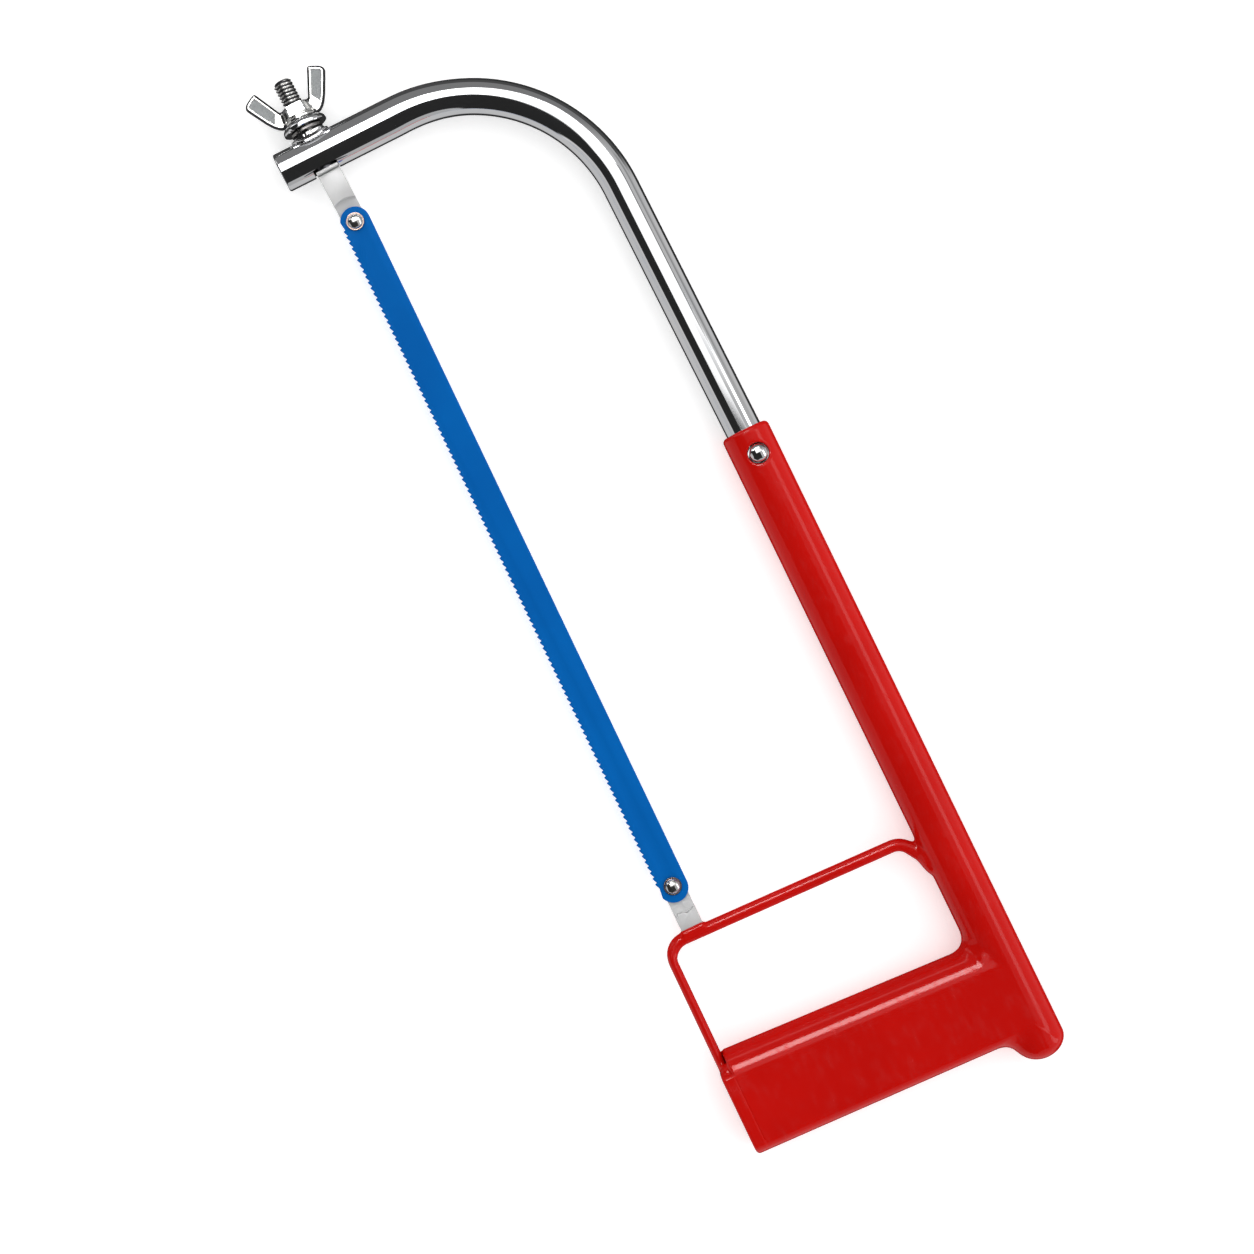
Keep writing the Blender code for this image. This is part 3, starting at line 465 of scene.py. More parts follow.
def bright_metal(name, colour, tint, gloss, wave, scratch_run, scratch, metallic=1.0):
    """Plated metal: long soft waves in the surface, hairline scratches and smears in the shine."""
    material, n, shader, place = start_material(name, metallic)
    smear = n.noise(place, 55.0, 4.0, 0.6)
    n.put(shader.inputs["Base Color"], n.blend(n.rise(smear, 0.35, 0.7), (*colour, 1), (*tint, 1)))
    lines = n.noise(place, 2600.0, 2.0, 0.6, scratch_run)
    shine = n.sum("ADD", n.rise(smear, 0.3, 0.75, 0.0, gloss * 0.6),
                  n.rise(lines, 0.55, 0.8, gloss * 0.8, gloss * 1.5))
    n.put(shader.inputs["Roughness"], shine)
    soft = n.bump(n.noise(place, 45.0, 1.0, 0.4), wave, 0.0006)
    n.put(shader.inputs["Normal"], n.bump(lines, scratch, 0.00003, soft))
    return material


def cast_metal(name, colour, tint):
    """The pebbled floor of a die-cast recess."""
    material, n, shader, place = start_material(name, 0.0, 0.2)
    grain = n.noise(place, 1900.0, 3.0, 0.7)
    coarse = n.noise(place, 700.0, 2.0, 0.5)
    n.put(shader.inputs["Base Color"], n.blend(n.rise(grain, 0.32, 0.68), (*colour, 1), (*tint, 1)))
    n.put(shader.inputs["Roughness"], n.rise(coarse, 0.3, 0.7, 0.38, 0.6))
    first = n.bump(grain, 0.7, 0.00022)
    n.put(shader.inputs["Normal"], n.bump(coarse, 0.5, 0.0002, first))
    return material


RED = paint("red_enamel", (0.53, 0.0034, 0.0016), (0.58, 0.0044, 0.0022), 0.12, 0.10, 0.24)
BLUE = paint("blue_enamel", (0.0, 0.11, 0.42), (0.0, 0.125, 0.46), 0.40, 0.12, 0.04)
CHROME = bright_metal("chrome_plate", (0.88, 0.88, 0.89), (0.84, 0.85, 0.87), 0.055, 0.05, (0.04, 1.0, 1.0), 0.05)
NICKEL = bright_metal("nickel_plate", (0.84, 0.83, 0.81), (0.74, 0.74, 0.73), 0.13, 0.10, (0.3, 1.0, 1.0), 0.10)
STEEL = bright_metal("zinc_steel", (0.59, 0.59, 0.59), (0.54, 0.54, 0.54), 0.48, 0.10, (0.03, 1.0, 1.0), 0.22, 0.10)
# Dark brown metal for the pins' flange ring: a painted darker reflection round the bright dome.
PIN_RING_REFLECTION = bright_metal("rivet_rim_painted_reflection", (0.36, 0.28, 0.24), (0.27, 0.20, 0.17), 0.24, 0.10, (0.3, 1.0, 1.0), 0.10)
DARK_STEEL = bright_metal("spring_steel", (0.30, 0.29, 0.28), (0.20, 0.19, 0.19), 0.26, 0.08, (0.5, 1.0, 1.0), 0.15)
# Near-black steel used as painted shade: inside the front tube's leg, on the stud inside the leg and in its thread
# valleys, and on the wing nut's sides.
SHADE_STEEL = bright_metal("painted_shade_steel", (0.10, 0.10, 0.11), (0.05, 0.05, 0.05), 0.40, 0.08, (0.5, 1.0, 1.0), 0.15)
CAST = cast_metal("cast_recess", (0.27, 0.28, 0.285), (0.40, 0.415, 0.42))

# ------------------------------------------------------------------ the painted weldment

MOUTH_X, SLEEVE_END, CAP_LENGTH = -5.2, 270.4, 8.0
BUTTON = (6.1, 106.9)
GUARD_FOOT_X = 170.98
GUARD_PATH = rounded_path([(188.5, 100.6), (173.95, 91.5), (GUARD_FOOT_X, -13.2), (228.0, -13.4)], 8.0, 10)
ROD_R = 2.6
# The grip's front and rear edges lean: each is at x = at + lean * y. Its toe reaches lower than the rest.
GRIP_FRONT_AT, GRIP_FRONT_LEAN, GRIP_FRONT_ROUND = 219.4, 0.0495, 11.5
GRIP_REAR_AT, GRIP_REAR_LEAN, GRIP_REAR_ROUND = 263.7, 0.032, 6.0
TOE_X, TOE_ROUND = 226.3, 3.0
GRIP_SHOULDER_Y, GRIP_END_Y = -11.0, -15.6
BORE_MOUTH_R, BORE_R, BORE_END = 8.05, 8.6, 62.0


def oval_field(a, b, reach_a, reach_b):
    size = np.hypot(a / reach_a, b / reach_b)
    slope = np.hypot(a / reach_a**2, b / reach_b**2) / np.maximum(size, 1e-6)
    return (size - 1.0) / np.maximum(slope, 1e-2)


def egg_field(x, y, z, centre, half):
    u, v, w = x - centre[0], y - centre[1], z - centre[2]
    size = np.sqrt((u / half[0]) ** 2 + (v / half[1]) ** 2 + (w / half[2]) ** 2)
    slope = np.sqrt((u / half[0] ** 2) ** 2 + (v / half[1] ** 2) ** 2 + (w / half[2] ** 2) ** 2)
    return (size - 1.0) / np.maximum(slope / np.maximum(size, 1e-6), 1e-2)


def rounded_corner(a, b, radius):
    """Where both fields hold, with the edge between them rounded."""
    a, b = a + radius, b + radius
    return np.minimum(np.maximum(a, b), 0) + np.hypot(np.maximum(a, 0), np.maximum(b, 0)) - radius


def sleeve_axes(x, y):
    c, s = math.cos(SPINE_SLOPE), math.sin(SPINE_SLOPE)
    return c * x + s * (y - SPINE_Y), c * (y - SPINE_Y) - s * x


def sleeve_field(along, radius):
    body = rounded_corner(radius - TUBE_R, MOUTH_X - along, 2.0)
    beyond = np.maximum(along - SLEEVE_END, 0)
    size = np.hypot(beyond / CAP_LENGTH, radius / TUBE_R)
    slope = np.hypot(beyond / CAP_LENGTH**2, radius / TUBE_R**2) / np.maximum(size, 1e-6)
    return np.where(along > SLEEVE_END, (size - 1.0) / np.maximum(slope, 1e-2), body)


def grip_section(x, z, front, front_round, rear, rear_round):
    to_front = (front + front_round - x) / front_round
    to_rear = (x - rear + rear_round) / rear_round
    reach = np.where(to_front > to_rear, front_round, rear_round)
    u, w = np.maximum(np.maximum(to_front, to_rear), 0), np.abs(z) / TUBE_R
    size = np.hypot(u, w)
    slope = np.hypot(u / reach, w / TUBE_R)
    facing = (w / TUBE_R) / np.maximum(slope, 1e-6)
    return (size - 1.0) / np.maximum(slope / np.maximum(size, 1e-6), 1e-2), facing


def weldment_field(x, y, z):
    along, across = sleeve_axes(x, y)
    radius = np.hypot(across, z)
    tube = sleeve_field(along, radius)
    # the grip, rounded at both edges, below the sleeve's axis
    rear = GRIP_REAR_AT + GRIP_REAR_LEAN * y
    front = GRIP_FRONT_AT + GRIP_FRONT_LEAN * y
    upper, facing = grip_section(x, z, front, GRIP_FRONT_ROUND, rear, GRIP_REAR_ROUND)
    lower = grip_section(x, z, TOE_X, TOE_ROUND, rear, GRIP_REAR_ROUND)[0]
    toe = rounded_corner(lower, np.maximum(GRIP_END_Y - y, y + 9.5), 1.5)
    grip = np.minimum(rounded_corner(upper, GRIP_SHOULDER_Y - y, 1.3), toe)
    grip = np.maximum(grip, across)
    likeness = facing * np.abs(z) / np.maximum(radius, 1e-6)
    whole = soft_union(tube, grip, 8.5 * (1.0 - likeness))
    # the guard rod, pressed flatter where it meets the toe
    near, path_x, path_y = path_field(GUARD_PATH, x, y)
    foot = ease((path_x - GUARD_FOOT_X) / 8.0) * ease(-path_y / 8.0)
    rod = oval_field(near, z, ROD_R - 0.7 * foot, ROD_R + 0.4 * foot)
    whole = soft_union(whole, rod, 3.2 - 2.7 * foot)
    # weld beads: rod top, toe, grip top and holder, then a fillet along the holder's end
    depth = np.abs(z)
    beads = egg_field(x, y, z, (184.6, 98.0, 0.0), (6.0, 2.6, 4.4))
    beads = np.minimum(beads, egg_field(x, y, depth, (226.6, -12.3, 4.4), (2.6, 2.0, 3.4)))
    beads = np.minimum(beads, egg_field(x, y, depth, (230.6, 101.4, 6.6), (3.4, 2.6, 2.2)))
    beads = np.minimum(beads, egg_field(x, y, z, (170.2, 0.0, -4.1), (2.4, 4.3, 1.9)))
    fillet = np.hypot(x - 169.3, depth - 1.5) - 1.3
    beads = np.minimum(beads, rounded_corner(fillet, np.abs(y) - 4.7, 0.6))
    whole = soft_union(whole, beads, 1.8)
    bore_radius = np.where(along < MOUTH_X + 4.0, BORE_MOUTH_R, BORE_R)
    bore = np.maximum(radius - bore_radius, along - BORE_END)
    whole = soft_cut(whole, bore, 0.6)
    hole = np.maximum(np.hypot(x - BUTTON[0], y - BUTTON[1]) - 4.1, -z)
    return soft_cut(whole, hole, 1.5)


STEP = 0.7
points, faces, normals = skin(weldment_field, (-8.0, -18.5, -12.3), (281.5, 121.0, 12.3), STEP)
weldment = new_piece("painted_weldment", points, faces, [RED], None, normals)
settle(weldment, "frame", "red_paint", "outer_tube", "tube_end_cap", "grip_shell_near", "grip_shell_far",
       "guard_rod", "guard_top_weld", "toe_weld_near", "toe_weld_far", "holder_weld")

# ------------------------------------------------------------------ the chromed front tube


def leg_share(y):
    return ease((PRESS_START - y) / (PRESS_START - PRESS_END))


def tube_stations():
    """Centre points and directions, from the inner end round the bend to the end of the leg."""
    stations = [(x, 0.0, 180.0) for x in np.linspace(BACK_LENGTH, BEND, 24)[:-1]]
    for turn in np.linspace(0.0, 90.0, 61):
        a = math.radians(turn)
        stations.append((BEND - BEND * math.sin(a), BEND * math.cos(a) - BEND, 180.0 + turn))
    stations += [(0.0, y, 270.0) for y in np.linspace(-BEND, -LEG_LENGTH, 60)[1:]]
    return stations


def tube_rings(inset, stations, sides):
    rings = []
    for x, y, heading in stations:
        share = float(leg_share(y))
        wide = BACK_R + (LEG_R - BACK_R) * share - inset
        deep = BACK_R + (LEG_DEPTH - BACK_R) * share - inset
        a = math.radians(heading + 90.0)
        turn = np.arange(sides) / sides * 2 * math.pi
        rings.append(np.stack([x + wide * np.cos(turn) * math.cos(a), y + wide * np.cos(turn) * math.sin(a),
                               deep * np.sin(turn)], 1))
    return rings


SIDES = 96
stations = tube_stations()
stations[-1] = (0.0, -LEG_LENGTH + 0.7, 270.0)
rings = tube_rings(0.0, stations, SIDES)
for turn in (30, 60, 90):
    a = math.radians(turn)
    end = (0.0, -LEG_LENGTH + 0.7 * (1 - math.sin(a)), 270.0)
    rings += tube_rings(0.7 * (1 - math.cos(a)), [end], SIDES)
rings += tube_rings(1.2, [(0.0, -LEG_LENGTH, 270.0)], SIDES)
rings += tube_rings(1.4, [(0.0, -LEG_LENGTH + 0.25, 270.0)], SIDES)
inner = [s for s in stations[:-1] if s[1] > -LEG_LENGTH + 2.0][::-1]
rings += tube_rings(1.4, inner, SIDES)
tube = new_piece("front_tube_chrome", np.concatenate(rings), grid_faces(len(rings), SIDES, True, True),
                 [CHROME], LEG)
face_outward(tube)

# The opening for the bolt: a square window with a lens-shaped lip above it, seen end on
window = [(-5.7, -4.4), (5.1, -4.4), (5.1, 4.3), (10.0, 4.3)]
window += [(10.0 * math.cos(math.radians(t)), 4.3 + 0.65 * math.sin(math.radians(t))) for t in range(12, 169, 12)]
window += [(-10.0, 4.3), (-5.7, 4.3)]
punch = slab("leg_punch", window, -6.0, 6.0,
             TENSION @ Matrix.Translation((-24.5, 0, 0)) @ Matrix.Rotation(math.pi / 2, 4, "Z")
             @ Matrix.Rotation(math.pi / 2, 4, "X"))
across_axis = TENSION @ Matrix.Rotation(math.pi / 2, 4, "Y")
bolt_hole = slab("bolt_hole", circle((0.0, 0.0), STUD_HOLE_R), -44.0, -31.0, across_axis)
button_hole = slab("button_hole", circle((0.0, 0.0), STUD_HOLE_R), 0.0, 14.0, Matrix.Translation((*BUTTON, 0)))
carve(tube, punch, bolt_hole, button_hole)
# The lower leg's inner wall and the cut walls of its window get the near-black steel: painted shade inside the tube.
tube.data.materials.append(SHADE_STEEL)
to_leg = np.array(LEG.inverted())
for face in tube.data.polygons:
    spot = (np.array(face.center) - np.array(DATUM)) * 1000
    across, along, up = to_leg[:3, :3] @ spot + to_leg[:3, 3]
    low = along < PRESS_END
    sunk = 1.0 - math.hypot(across / LEG_R, up / LEG_DEPTH) if low else 1.0 - abs(up) / BACK_R
    opening = low and across > 2.0 and abs(along + LEG_LENGTH - 18.9) < 12.0
    face.material_index = int(low and (sunk > 0.155 or (opening and sunk > 0.02)))
settle(tube, "frame", "chrome", "front_tube")

# ------------------------------------------------------------------ snap button

dome = [(3.7, 1.9), (3.7, 9.2)]
dome += [(3.7 * math.cos(math.radians(t)), 9.6 + 2.6 * math.sin(math.radians(t))) for t in range(0, 91, 6)]
button = turned("snap_button_chrome", [(0.0, 1.7), (4.4, 1.7), (4.5, 1.8), (4.5, 2.8), (4.4, 2.9), (3.7, 2.9)]
                + dome[1:], [CHROME], Matrix.Translation((*BUTTON, 0.0)), 64)
settle(button, "button", "chrome", "snap_button")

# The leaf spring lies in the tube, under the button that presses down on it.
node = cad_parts["snap_spring"]
leaf = bpy.data.objects.new("snap_spring_leaf", node.data.copy())
leaf.matrix_world = node.matrix_world.copy()
bpy.context.scene.collection.objects.link(leaf)
leaf.data.materials.clear()
leaf.data.materials.append(DARK_STEEL)
settle(leaf, "frame", "dark_steel", "snap_spring")
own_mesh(leaf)

# ------------------------------------------------------------------ blade and its rivet pins

PITCH, TEETH, DEPTH = 2.54, 117, 0.9
SET_FROM_Y = -5.75


def blade_outline():
    low = -BLADE_HALF_WIDTH
    outline = arc((HALF_SPAN + 0.6, 0.0), BLADE_HALF_WIDTH, -70, 90, 24)
    outline += arc((-HALF_SPAN, 0.0), BLADE_HALF_WIDTH, 90, 250, 24)
    first = -TEETH * PITCH / 2
    for tooth in range(TEETH):
        x = first + tooth * PITCH
        outline += [(x, low + DEPTH), (x + 0.12, low + 0.45 * DEPTH), (x + 0.32, low), (x + 0.62, low + 0.1)]
        outline += [(x + 1.35, low + 0.42 * DEPTH), (x + 2.0, low + 0.8 * DEPTH), (x + 2.35, low + 0.97 * DEPTH)]
    outline.append((first + TEETH * PITCH, low + DEPTH))
    return outline


blade = slab("blade_painted", blade_outline(), -BLADE_HALF_THICKNESS, BLADE_HALF_THICKNESS, None, [BLUE])
eyes = [slab("eye", circle((side * HALF_SPAN, 0.0), EYE_R), -2.0, 2.0) for side in (-1, 1)]
carve(blade, *eyes)
soften(blade, 0.13)
# The teeth are set: one straight, one up, one down
for vertex in blade.data.vertices:
    x, y = (vertex.co.x - DATUM.x) * 1000, (vertex.co.y - DATUM.y) * 1000
    if y < SET_FROM_Y and abs(x) < TEETH * PITCH / 2:
        tooth = math.floor((x + TEETH * PITCH / 2) / PITCH)
        vertex.co.z += (0.0, 0.00016, -0.00016)[tooth % 3] * min(1.0, (SET_FROM_Y - y) / 0.4)
settle(blade, "blade", "blue_paint", "blade")


def to_row_point(x, y):
    return Vector(to_row([(x, y, 0.0)])[0])


def pin_profile():
    head = [(0.0, -4.2), (1.8, -4.2), (2.0, -4.0), (2.0, 0.66), (3.5, 0.66), (3.7, 0.8), (3.7, 1.0),
            (3.62, 1.12), (3.4, 1.16), (3.2, 1.1), (3.06, 1.12)]
    for turn in range(10, 91, 8):
        a = math.radians(turn)
        head.append((3.05 * math.cos(a), 1.12 + 1.8 * math.sin(a)))
    return head + [(0.0, 2.92)]


for name, x, body, node in (("front_pin_nickel", -HALF_SPAN, "front_pin", "front_blade_pin"),
                            ("rear_pin_nickel", HALF_SPAN, "rear_pin", "rear_blade_pin")):
    pin = turned(name, pin_profile(), [NICKEL, PIN_RING_REFLECTION], Matrix.Translation((x, 0.0, 0.0)), 64)
    # The flange ring round the dome gets the dark brown metal: a painted darker reflection.
    for face in pin.data.polygons:
        spot = (face.center - to_row_point(x, 0.0)) * 1000
        face.material_index = int(math.hypot(spot.x, spot.y) > 3.08)
    settle(pin, body, "nickel", node)

# ------------------------------------------------------------------ tension bolt: strip, collar and threaded stud


def strip_edge(start, end, half):
    side = 1 if end > start else -1
    tip = arc((end - side * half, 0.0), half, -90 * side, 180 - 90 * side, 20)
    return [(start, -side * half)] + tip + [(start, side * half)]


strip = slab("tension_strip", strip_edge(-23.6, 6.0, STRIP_HALF_WIDTH), -3.4, 2.2, TENSION, [STEEL])
seat = slab("seat", arc((0.0, 0.0), 10.2, 90, 270, 32) + [(9.0, -10.2), (9.0, 10.2)], SEAT_Z, 4.0, TENSION)
groove = slab("groove", [(-23.1, -7.0), (-22.5, -7.0), (-22.5, 7.0), (-23.1, 7.0)], 0.0, 4.0, TENSION)
slot = slab("slot", arc((0.0, 0.0), EYE_R, -90, 90, 16) + arc((-3.8, 0.0), EYE_R, 90, 270, 16), -6.0, 6.0, TENSION)
carve(strip, seat, groove, slot)
collar_outline = [(-24.2, -STRIP_HALF_WIDTH), (-23.1, -STRIP_HALF_WIDTH),
                  (-23.1, STRIP_HALF_WIDTH), (-24.2, STRIP_HALF_WIDTH)]
collar = slab("collar", collar_outline, -4.0, 4.0, TENSION)
join = strip.modifiers.new("join", "BOOLEAN")
join.operation, join.solver, join.object = "UNION", "EXACT", collar
apply_all(strip, [collar])
soften(strip, EDGE_WIDTH)
settle(strip, "tensioner", "plated_steel", "tension_bolt")

THREAD_PITCH, CREST, ROOT = 1.5, 3.95, 3.3


def thread_radius(s, turn):
    phase = (s / THREAD_PITCH + turn / (2 * math.pi)) % 1.0
    rise = np.clip((np.abs(phase - 0.5) * 2 - 0.12) / 0.72, 0.0, 1.0)
    radius = ROOT + (CREST - ROOT) * (1.0 - rise)
    end = np.clip((s + 64.4) / 0.9, 0.0, 1.0)
    return np.minimum(radius, CREST - 0.95 * (1.0 - end))


lengths = np.concatenate([np.linspace(-64.4, -44.0, 205), np.linspace(-43.0, -24.4, 6)])
around = np.arange(64) / 64 * 2 * math.pi
rings = []
for s in lengths:
    plain = ease((s + 45.0) / 1.0)
    r = thread_radius(s, around) * (1 - plain) + 3.85 * plain
    rings.append(np.stack([np.full(64, s), r * np.cos(around), r * np.sin(around)], 1))
count = len(rings)
faces = grid_faces(count, 64, False, True)
points = np.concatenate(rings + [np.array([[-64.3, 0, 0], [-24.4, 0, 0]])])
for j in range(64):
    m = (j + 1) % 64
    faces.append((m, j, count * 64))
    faces.append(((count - 1) * 64 + j, (count - 1) * 64 + m, count * 64 + 1))
middles = [points[list(face)].mean(0) for face in faces]
# the part inside the leg and the thread's valleys get the near-black steel: painted shade inside the tube and in the
# valleys
marks = [spot[0] > -38.0 or math.hypot(spot[1], spot[2]) < 3.6 for spot in middles]
stud = new_piece("tension_stud", points, faces, [NICKEL, SHADE_STEEL], TENSION, marks=marks, angle=50)
face_outward(stud)
settle(stud, "tensioner", "plated_steel", "tension_bolt")

# ------------------------------------------------------------------ wing nut

# One wing seen from above, in the tension axes: along the stud, then out from it
WING = [(-46.6, 5.5), (-46.2, 7.6), (-46.7, 9.1), (-47.7, 10.5), (-49.3, 11.9), (-52.0, 13.7), (-54.6, 15.1),
        (-57.5, 16.7), (-60.0, 18.0), (-60.8, 18.2), (-61.8, 17.9), (-62.7, 17.3), (-63.5, 16.1), (-64.3, 14.6),
        (-64.95, 13.2), (-65.08, 12.6), (-64.9, 12.0), (-64.2, 11.6), (-53.0, 6.2), (-52.4, 4.8)]


def nut_field(s, t, z):
    depth, side = np.abs(z), np.abs(t)
    apothem = 5.5 + (s + 53.35) / 6.85 * 0.9
    hexagon = np.maximum(depth, side * 0.8660 + depth * 0.5) - apothem
    hexagon = np.maximum(hexagon, np.hypot(t, z) - 6.25 - (s + 53.35) * 0.55)
    hub = rounded_corner(hexagon, np.maximum(-53.35 - s, s + 48.6), 0.35)
    radius = np.hypot(t, z)
    ring = rounded_corner(radius - 6.9, np.maximum(-47.9 - s, s + 46.5), 0.45)
    neck = np.maximum(radius - 5.9, np.maximum(-49.0 - s, s + 47.0))
    hub = np.minimum(np.minimum(hub, ring), neck)
    plan = polygon_field(WING, s, side)
    wing = rounded_corner((plan + 0.7 * depth) * 0.82, depth - 1.2, 0.2)
    nut = soft_union(hub, wing, 1.4)
    beyond = 9.9 + 0.534 * (s + 51.2) - side
    recess = np.maximum(np.maximum(plan + 1.6, 0.78 - depth), beyond)
    nut = soft_cut(nut, recess, 0.22)
    return np.maximum(nut, 4.25 - radius)


step = 0.27
points, faces, normals = skin(nut_field, (-66.4, -19.6, -8.0), (-45.6, 19.6, 8.0), step)
centre = points[faces].mean(1)
plan = polygon_field(WING, centre[:, 0], np.abs(centre[:, 1]))
side = np.abs(centre[:, 1])
# material 0 on the bright faces, 1 in the cast recesses, 2 on the sides of the wings, near-black as painted shade
# for their dark outline
recessed = (plan < -1.7) & (np.abs(centre[:, 2]) < 0.88) & (side > 8.0)
edge = (plan + 0.7 * np.abs(centre[:, 2]) > -0.16) & (side > 6.2)
marks = np.where(edge, 2, recessed)
nut = new_piece("wing_nut_cast", points, faces, [NICKEL, CAST, SHADE_STEEL], TENSION, normals, marks)
settle(nut, "nut", "nickel", "wing_nut")

# ------------------------------------------------------------------ washers

facing_nut = TENSION @ Matrix.Translation((-42.9, 0, 0)) @ Matrix.Rotation(-math.pi / 2, 4, "Y")
profile = [(4.3, 0.0), (9.0, 0.0), (9.35, 0.25), (9.4, 0.7)]
profile += [(7.0 + 2.35 * math.cos(math.radians(t)), 1.0 + 2.1 * math.sin(math.radians(t))) for t in range(6, 91, 7)]
profile += [(5.2, 3.25), (4.6, 3.28), (4.3, 3.1)]
dome_washer = turned("dome_washer_bright", profile, [CHROME], facing_nut, 96)
settle(dome_washer, "frame", "chrome", "dome_washer")

turns = np.radians(np.linspace(-40 + 6, 320 - 6, 120))
points = []
for index, turn in enumerate(turns):
    shift = (index / 119 - 0.5) * 0.1
    for s, r in ((-42.5, 4.4), (-42.5, 6.7), (-42.35, 6.88), (-41.5, 6.88), (-41.35, 6.7), (-41.35, 4.4)):
        points.append((s + shift, r * math.cos(turn), r * math.sin(turn)))
faces = grid_faces(120, 6, False, True) + [tuple(range(6)), tuple(range(119 * 6, 120 * 6))[::-1]]
lock = new_piece("lock_washer_dark", points, faces, [DARK_STEEL], TENSION)
face_outward(lock)
settle(lock, "frame", "dark_steel", "lock_washer")

TO_LEG = np.array(LEG.inverted() @ TENSION)


def saddle_field(s, t, z):
    """A formed washer: a body against the lock washer and a thin skirt that hugs the leg."""
    x = TO_LEG[0, 0] * s + TO_LEG[0, 1] * t + TO_LEG[0, 3]
    leg = oval_field(x, z, LEG_R, LEG_DEPTH)
    body = rounded_corner(oval_field(t, z, 6.9, 4.3), np.maximum(-41.0 - s, s + 37.0), 0.5)
    skirt = rounded_corner(oval_field(t, z, 8.2, 5.2), leg - 1.0, 0.35)
    whole = soft_union(body, np.maximum(skirt, s + 36.6), 0.8)
    whole = np.maximum(whole, 0.12 - leg)
    return np.maximum(whole, 4.3 - np.hypot(t, z))


points, faces, normals = skin(saddle_field, (-42.0, -9.2, -6.2), (-35.0, 9.2, 6.2), 0.3)
saddle = new_piece("saddle_washer_bright", points, faces, [CHROME], TENSION, normals)
settle(saddle, "frame", "chrome", "saddle_washer")

# ------------------------------------------------------------------ rear holder

holder = slab("rear_holder_plated", strip_edge(169.4, 143.5, HOLDER_HALF_WIDTH), -3.4, 1.9, None, [STEEL])
wave = [(161.6 + 0.5 * math.sin(1.1 * y + 0.4) + 0.25 * math.sin(2.7 * y), y) for y in np.linspace(-6.0, 6.0, 33)]
seat = slab("seat", [(140.0, -6.0)] + wave + [(140.0, 6.0)], SEAT_Z, 4.0)
eye = slab("eye", circle((HALF_SPAN, 0.0), EYE_R), -6.0, 6.0)
carve(holder, seat, eye)
soften(holder, EDGE_WIDTH)
settle(holder, "frame", "plated_steel", "rear_blade_holder")

# ------------------------------------------------------------------ floor, studio light and camera

floor_mesh = bpy.data.meshes.new("studio_floor")
floor_mesh.from_pydata([(-6, -6, 0), (6, -6, 0), (6, 6, 0), (-6, 6, 0)], [], [(0, 1, 2, 3)])
floor = bpy.data.objects.new("studio_floor", floor_mesh)
bpy.context.scene.collection.objects.link(floor)
floor.location.z = -0.0004
pale, n, shader, place = start_material("pale_floor", 0.0, 0.0)
tone = n.noise(place, 3.0, 3.0, 0.5)
n.put(shader.inputs["Base Color"], n.blend(tone, (0.93, 0.93, 0.93, 1), (0.95, 0.95, 0.95, 1)))
shader.inputs["Roughness"].default_value = 1.0
shader.inputs["Emission Color"].default_value = (1.0, 1.0, 1.0, 1.0)
shader.inputs["Emission Strength"].default_value = 0.4
floor.data.materials.append(pale)
floor.visible_glossy = False

world = bpy.data.worlds.new("studio")
bpy.context.scene.world = world
world.use_nodes = True
w = Nodes(world.node_tree)
background = world.node_tree.nodes["Background"]
split = w.make("ShaderNodeSeparateXYZ")
w.put(split.inputs[0], w.make("ShaderNodeTexCoord").outputs["Generated"])
dx, dy, dz = split.outputs


def window_of(socket, low, high, blur):
    up = w.rise(socket, low - blur, low + blur)
    down = w.rise(socket, high - blur, high + blur, 1.0, 0.0)
    return w.sum("MULTIPLY", up, down)


def layer(below, mask, level):
    """below outside the mask, level inside it."""
    kept = w.sum("MULTIPLY", below, w.sum("SUBTRACT", 1.0, mask))
    return w.sum("ADD", kept, w.sum("MULTIPLY", mask, level))


# What the bright parts mirror: a pale room with dark cards. dx, dy and dz point where the ray goes.
flat = w.sum("SQRT", w.sum("ADD", w.sum("MULTIPLY", dx, dx), w.sum("MULTIPLY", dy, dy)))
outward = w.rise(w.sum("SUBTRACT", dy, dx), 0.26, 0.32)
right = w.rise(dx, -0.12, -0.07)
spine = w.sum("MULTIPLY", w.rise(dx, -0.40, -0.30), w.rise(dy, 0.0, 0.1))
ring = w.sum("MULTIPLY", outward, w.rise(flat, 0.66, 0.70))
patch = w.sum("MULTIPLY", w.rise(dx, -0.38, -0.34, 1.0, 0.0), window_of(dy, -0.20, 0.20, 0.03))
upper = layer(1.3, patch, 0.06)
upper = layer(upper, ring, w.rise(dx, -0.6, -0.25, 0.2, 0.52))
upper = layer(upper, w.sum("MULTIPLY", spine, window_of(flat, 0.69, 0.75, 0.012)), 0.08)
upper = layer(upper, w.sum("MULTIPLY", spine, window_of(flat, 0.93, 0.99, 0.02)), 0.28)
upper = layer(upper, w.sum("MULTIPLY", right, w.rise(dy, 0.28, 0.36)), 0.45)
upper = layer(upper, w.sum("MULTIPLY", right, window_of(dy, 0.66, 0.84, 0.03)), 2.6)
upper = layer(upper, w.rise(dx, 0.88, 0.95), 0.42)
upper = layer(upper, w.rise(dy, -0.96, -0.91, 1.0, 0.0), 0.52)
card = w.sum("MULTIPLY", window_of(dx, -0.06, 0.92, 0.02), window_of(dy, -0.93, 0.30, 0.02))
lower_card = w.sum("MULTIPLY", window_of(dx, -0.65, 0.92, 0.02), window_of(dy, -0.93, -0.33, 0.02))
upper = layer(upper, w.sum("MAXIMUM", card, lower_card), 0.02)
# the strip lamp that makes the streak down the grip
core = w.sum("MULTIPLY", window_of(dx, -0.62, -0.36, 0.02), window_of(dy, -0.16, 0.18, 0.03))
upper = layer(upper, core, 16.0)
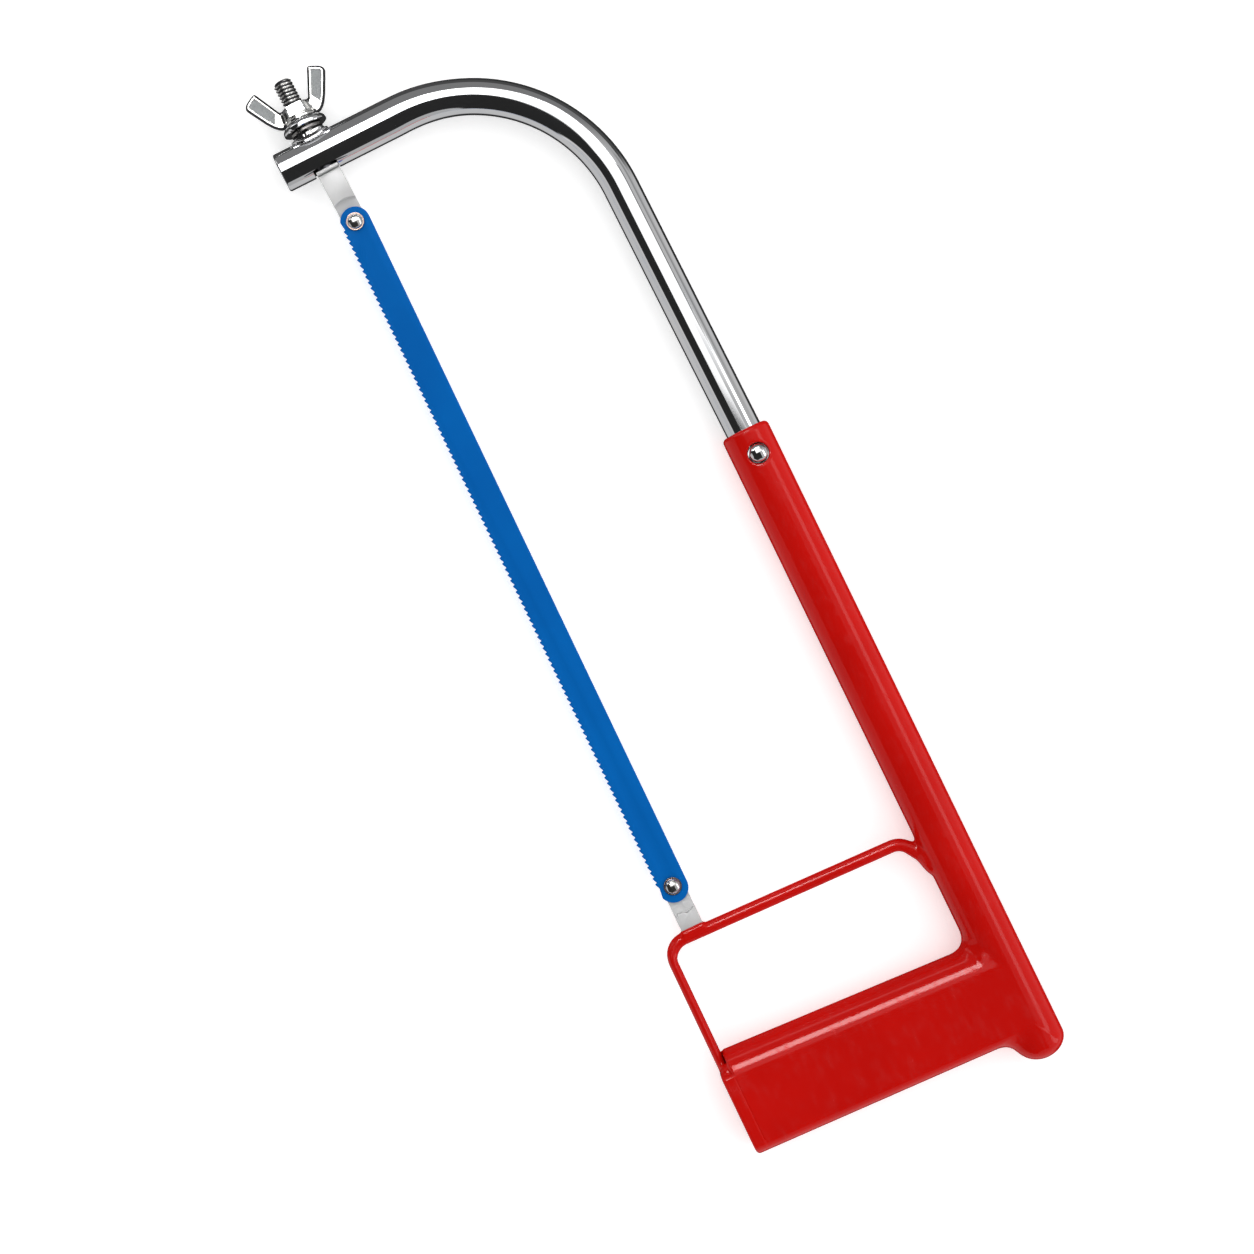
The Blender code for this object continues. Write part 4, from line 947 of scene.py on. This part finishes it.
# the lower half: the table and the dark side of the room
under = layer(0.55, w.rise(dx, -0.35, -0.15, 1.0, 0.0), 0.07)
under = layer(under, w.rise(dz, -0.80, -0.70, 1.0, 0.0), 0.03)
under = layer(under, w.sum("MULTIPLY", w.rise(dz, -0.53, -0.43, 1.0, 0.0), w.rise(dy, 0.1, 0.3)), 0.03)
mirrored = layer(upper, w.rise(dz, -0.02, 0.0, 1.0, 0.0), under)
# Everything matt is lit by a plain dome, a little brighter towards the back tube.
dome_light = w.sum("ADD", 0.95, w.sum("MULTIPLY", dy, 0.46))
path = w.make("ShaderNodeLightPath").outputs
level = layer(dome_light, path["Is Glossy Ray"], mirrored)
w.put(background.inputs["Strength"], layer(level, path["Is Camera Ray"], 1.0))
background.inputs["Color"].default_value = (1.0, 1.0, 1.0, 1.0)

SOFTBOX_WIDTH, SOFTBOX_HEIGHT, SOFTBOX_LEVEL = 0.168, 0.40, 1.3
softbox_data = bpy.data.lights.new("softbox", "AREA")
softbox_data.shape = "RECTANGLE"
softbox_data.size = SOFTBOX_WIDTH
softbox_data.size_y = SOFTBOX_HEIGHT
softbox_data.energy = SOFTBOX_LEVEL * 4 * SOFTBOX_WIDTH * SOFTBOX_HEIGHT
softbox = bpy.data.objects.new("softbox", softbox_data)
bpy.context.scene.collection.objects.link(softbox)
softbox.location = to_row([(-277.0, 100.0, 200.0)])[0].tolist()
softbox.visible_camera = False
softbox.visible_diffuse = False

CAMERA_DISTANCE, FRAME_WIDTH, CAMERA_TURN = 1.0, 0.511, math.radians(64.473)
camera_data = bpy.data.cameras.new("camera")
camera = bpy.data.objects.new("camera", camera_data)
bpy.context.scene.collection.objects.link(camera)
bpy.context.scene.camera = camera
aim = to_row([(46.7, 28.7, 0.0)])[0]
camera.location = (aim[0], aim[1], aim[2] + CAMERA_DISTANCE)
camera.rotation_euler = (0.0, 0.0, CAMERA_TURN)
camera_data.sensor_width = 36.0
camera_data.lens = 36.0 * CAMERA_DISTANCE / FRAME_WIDTH
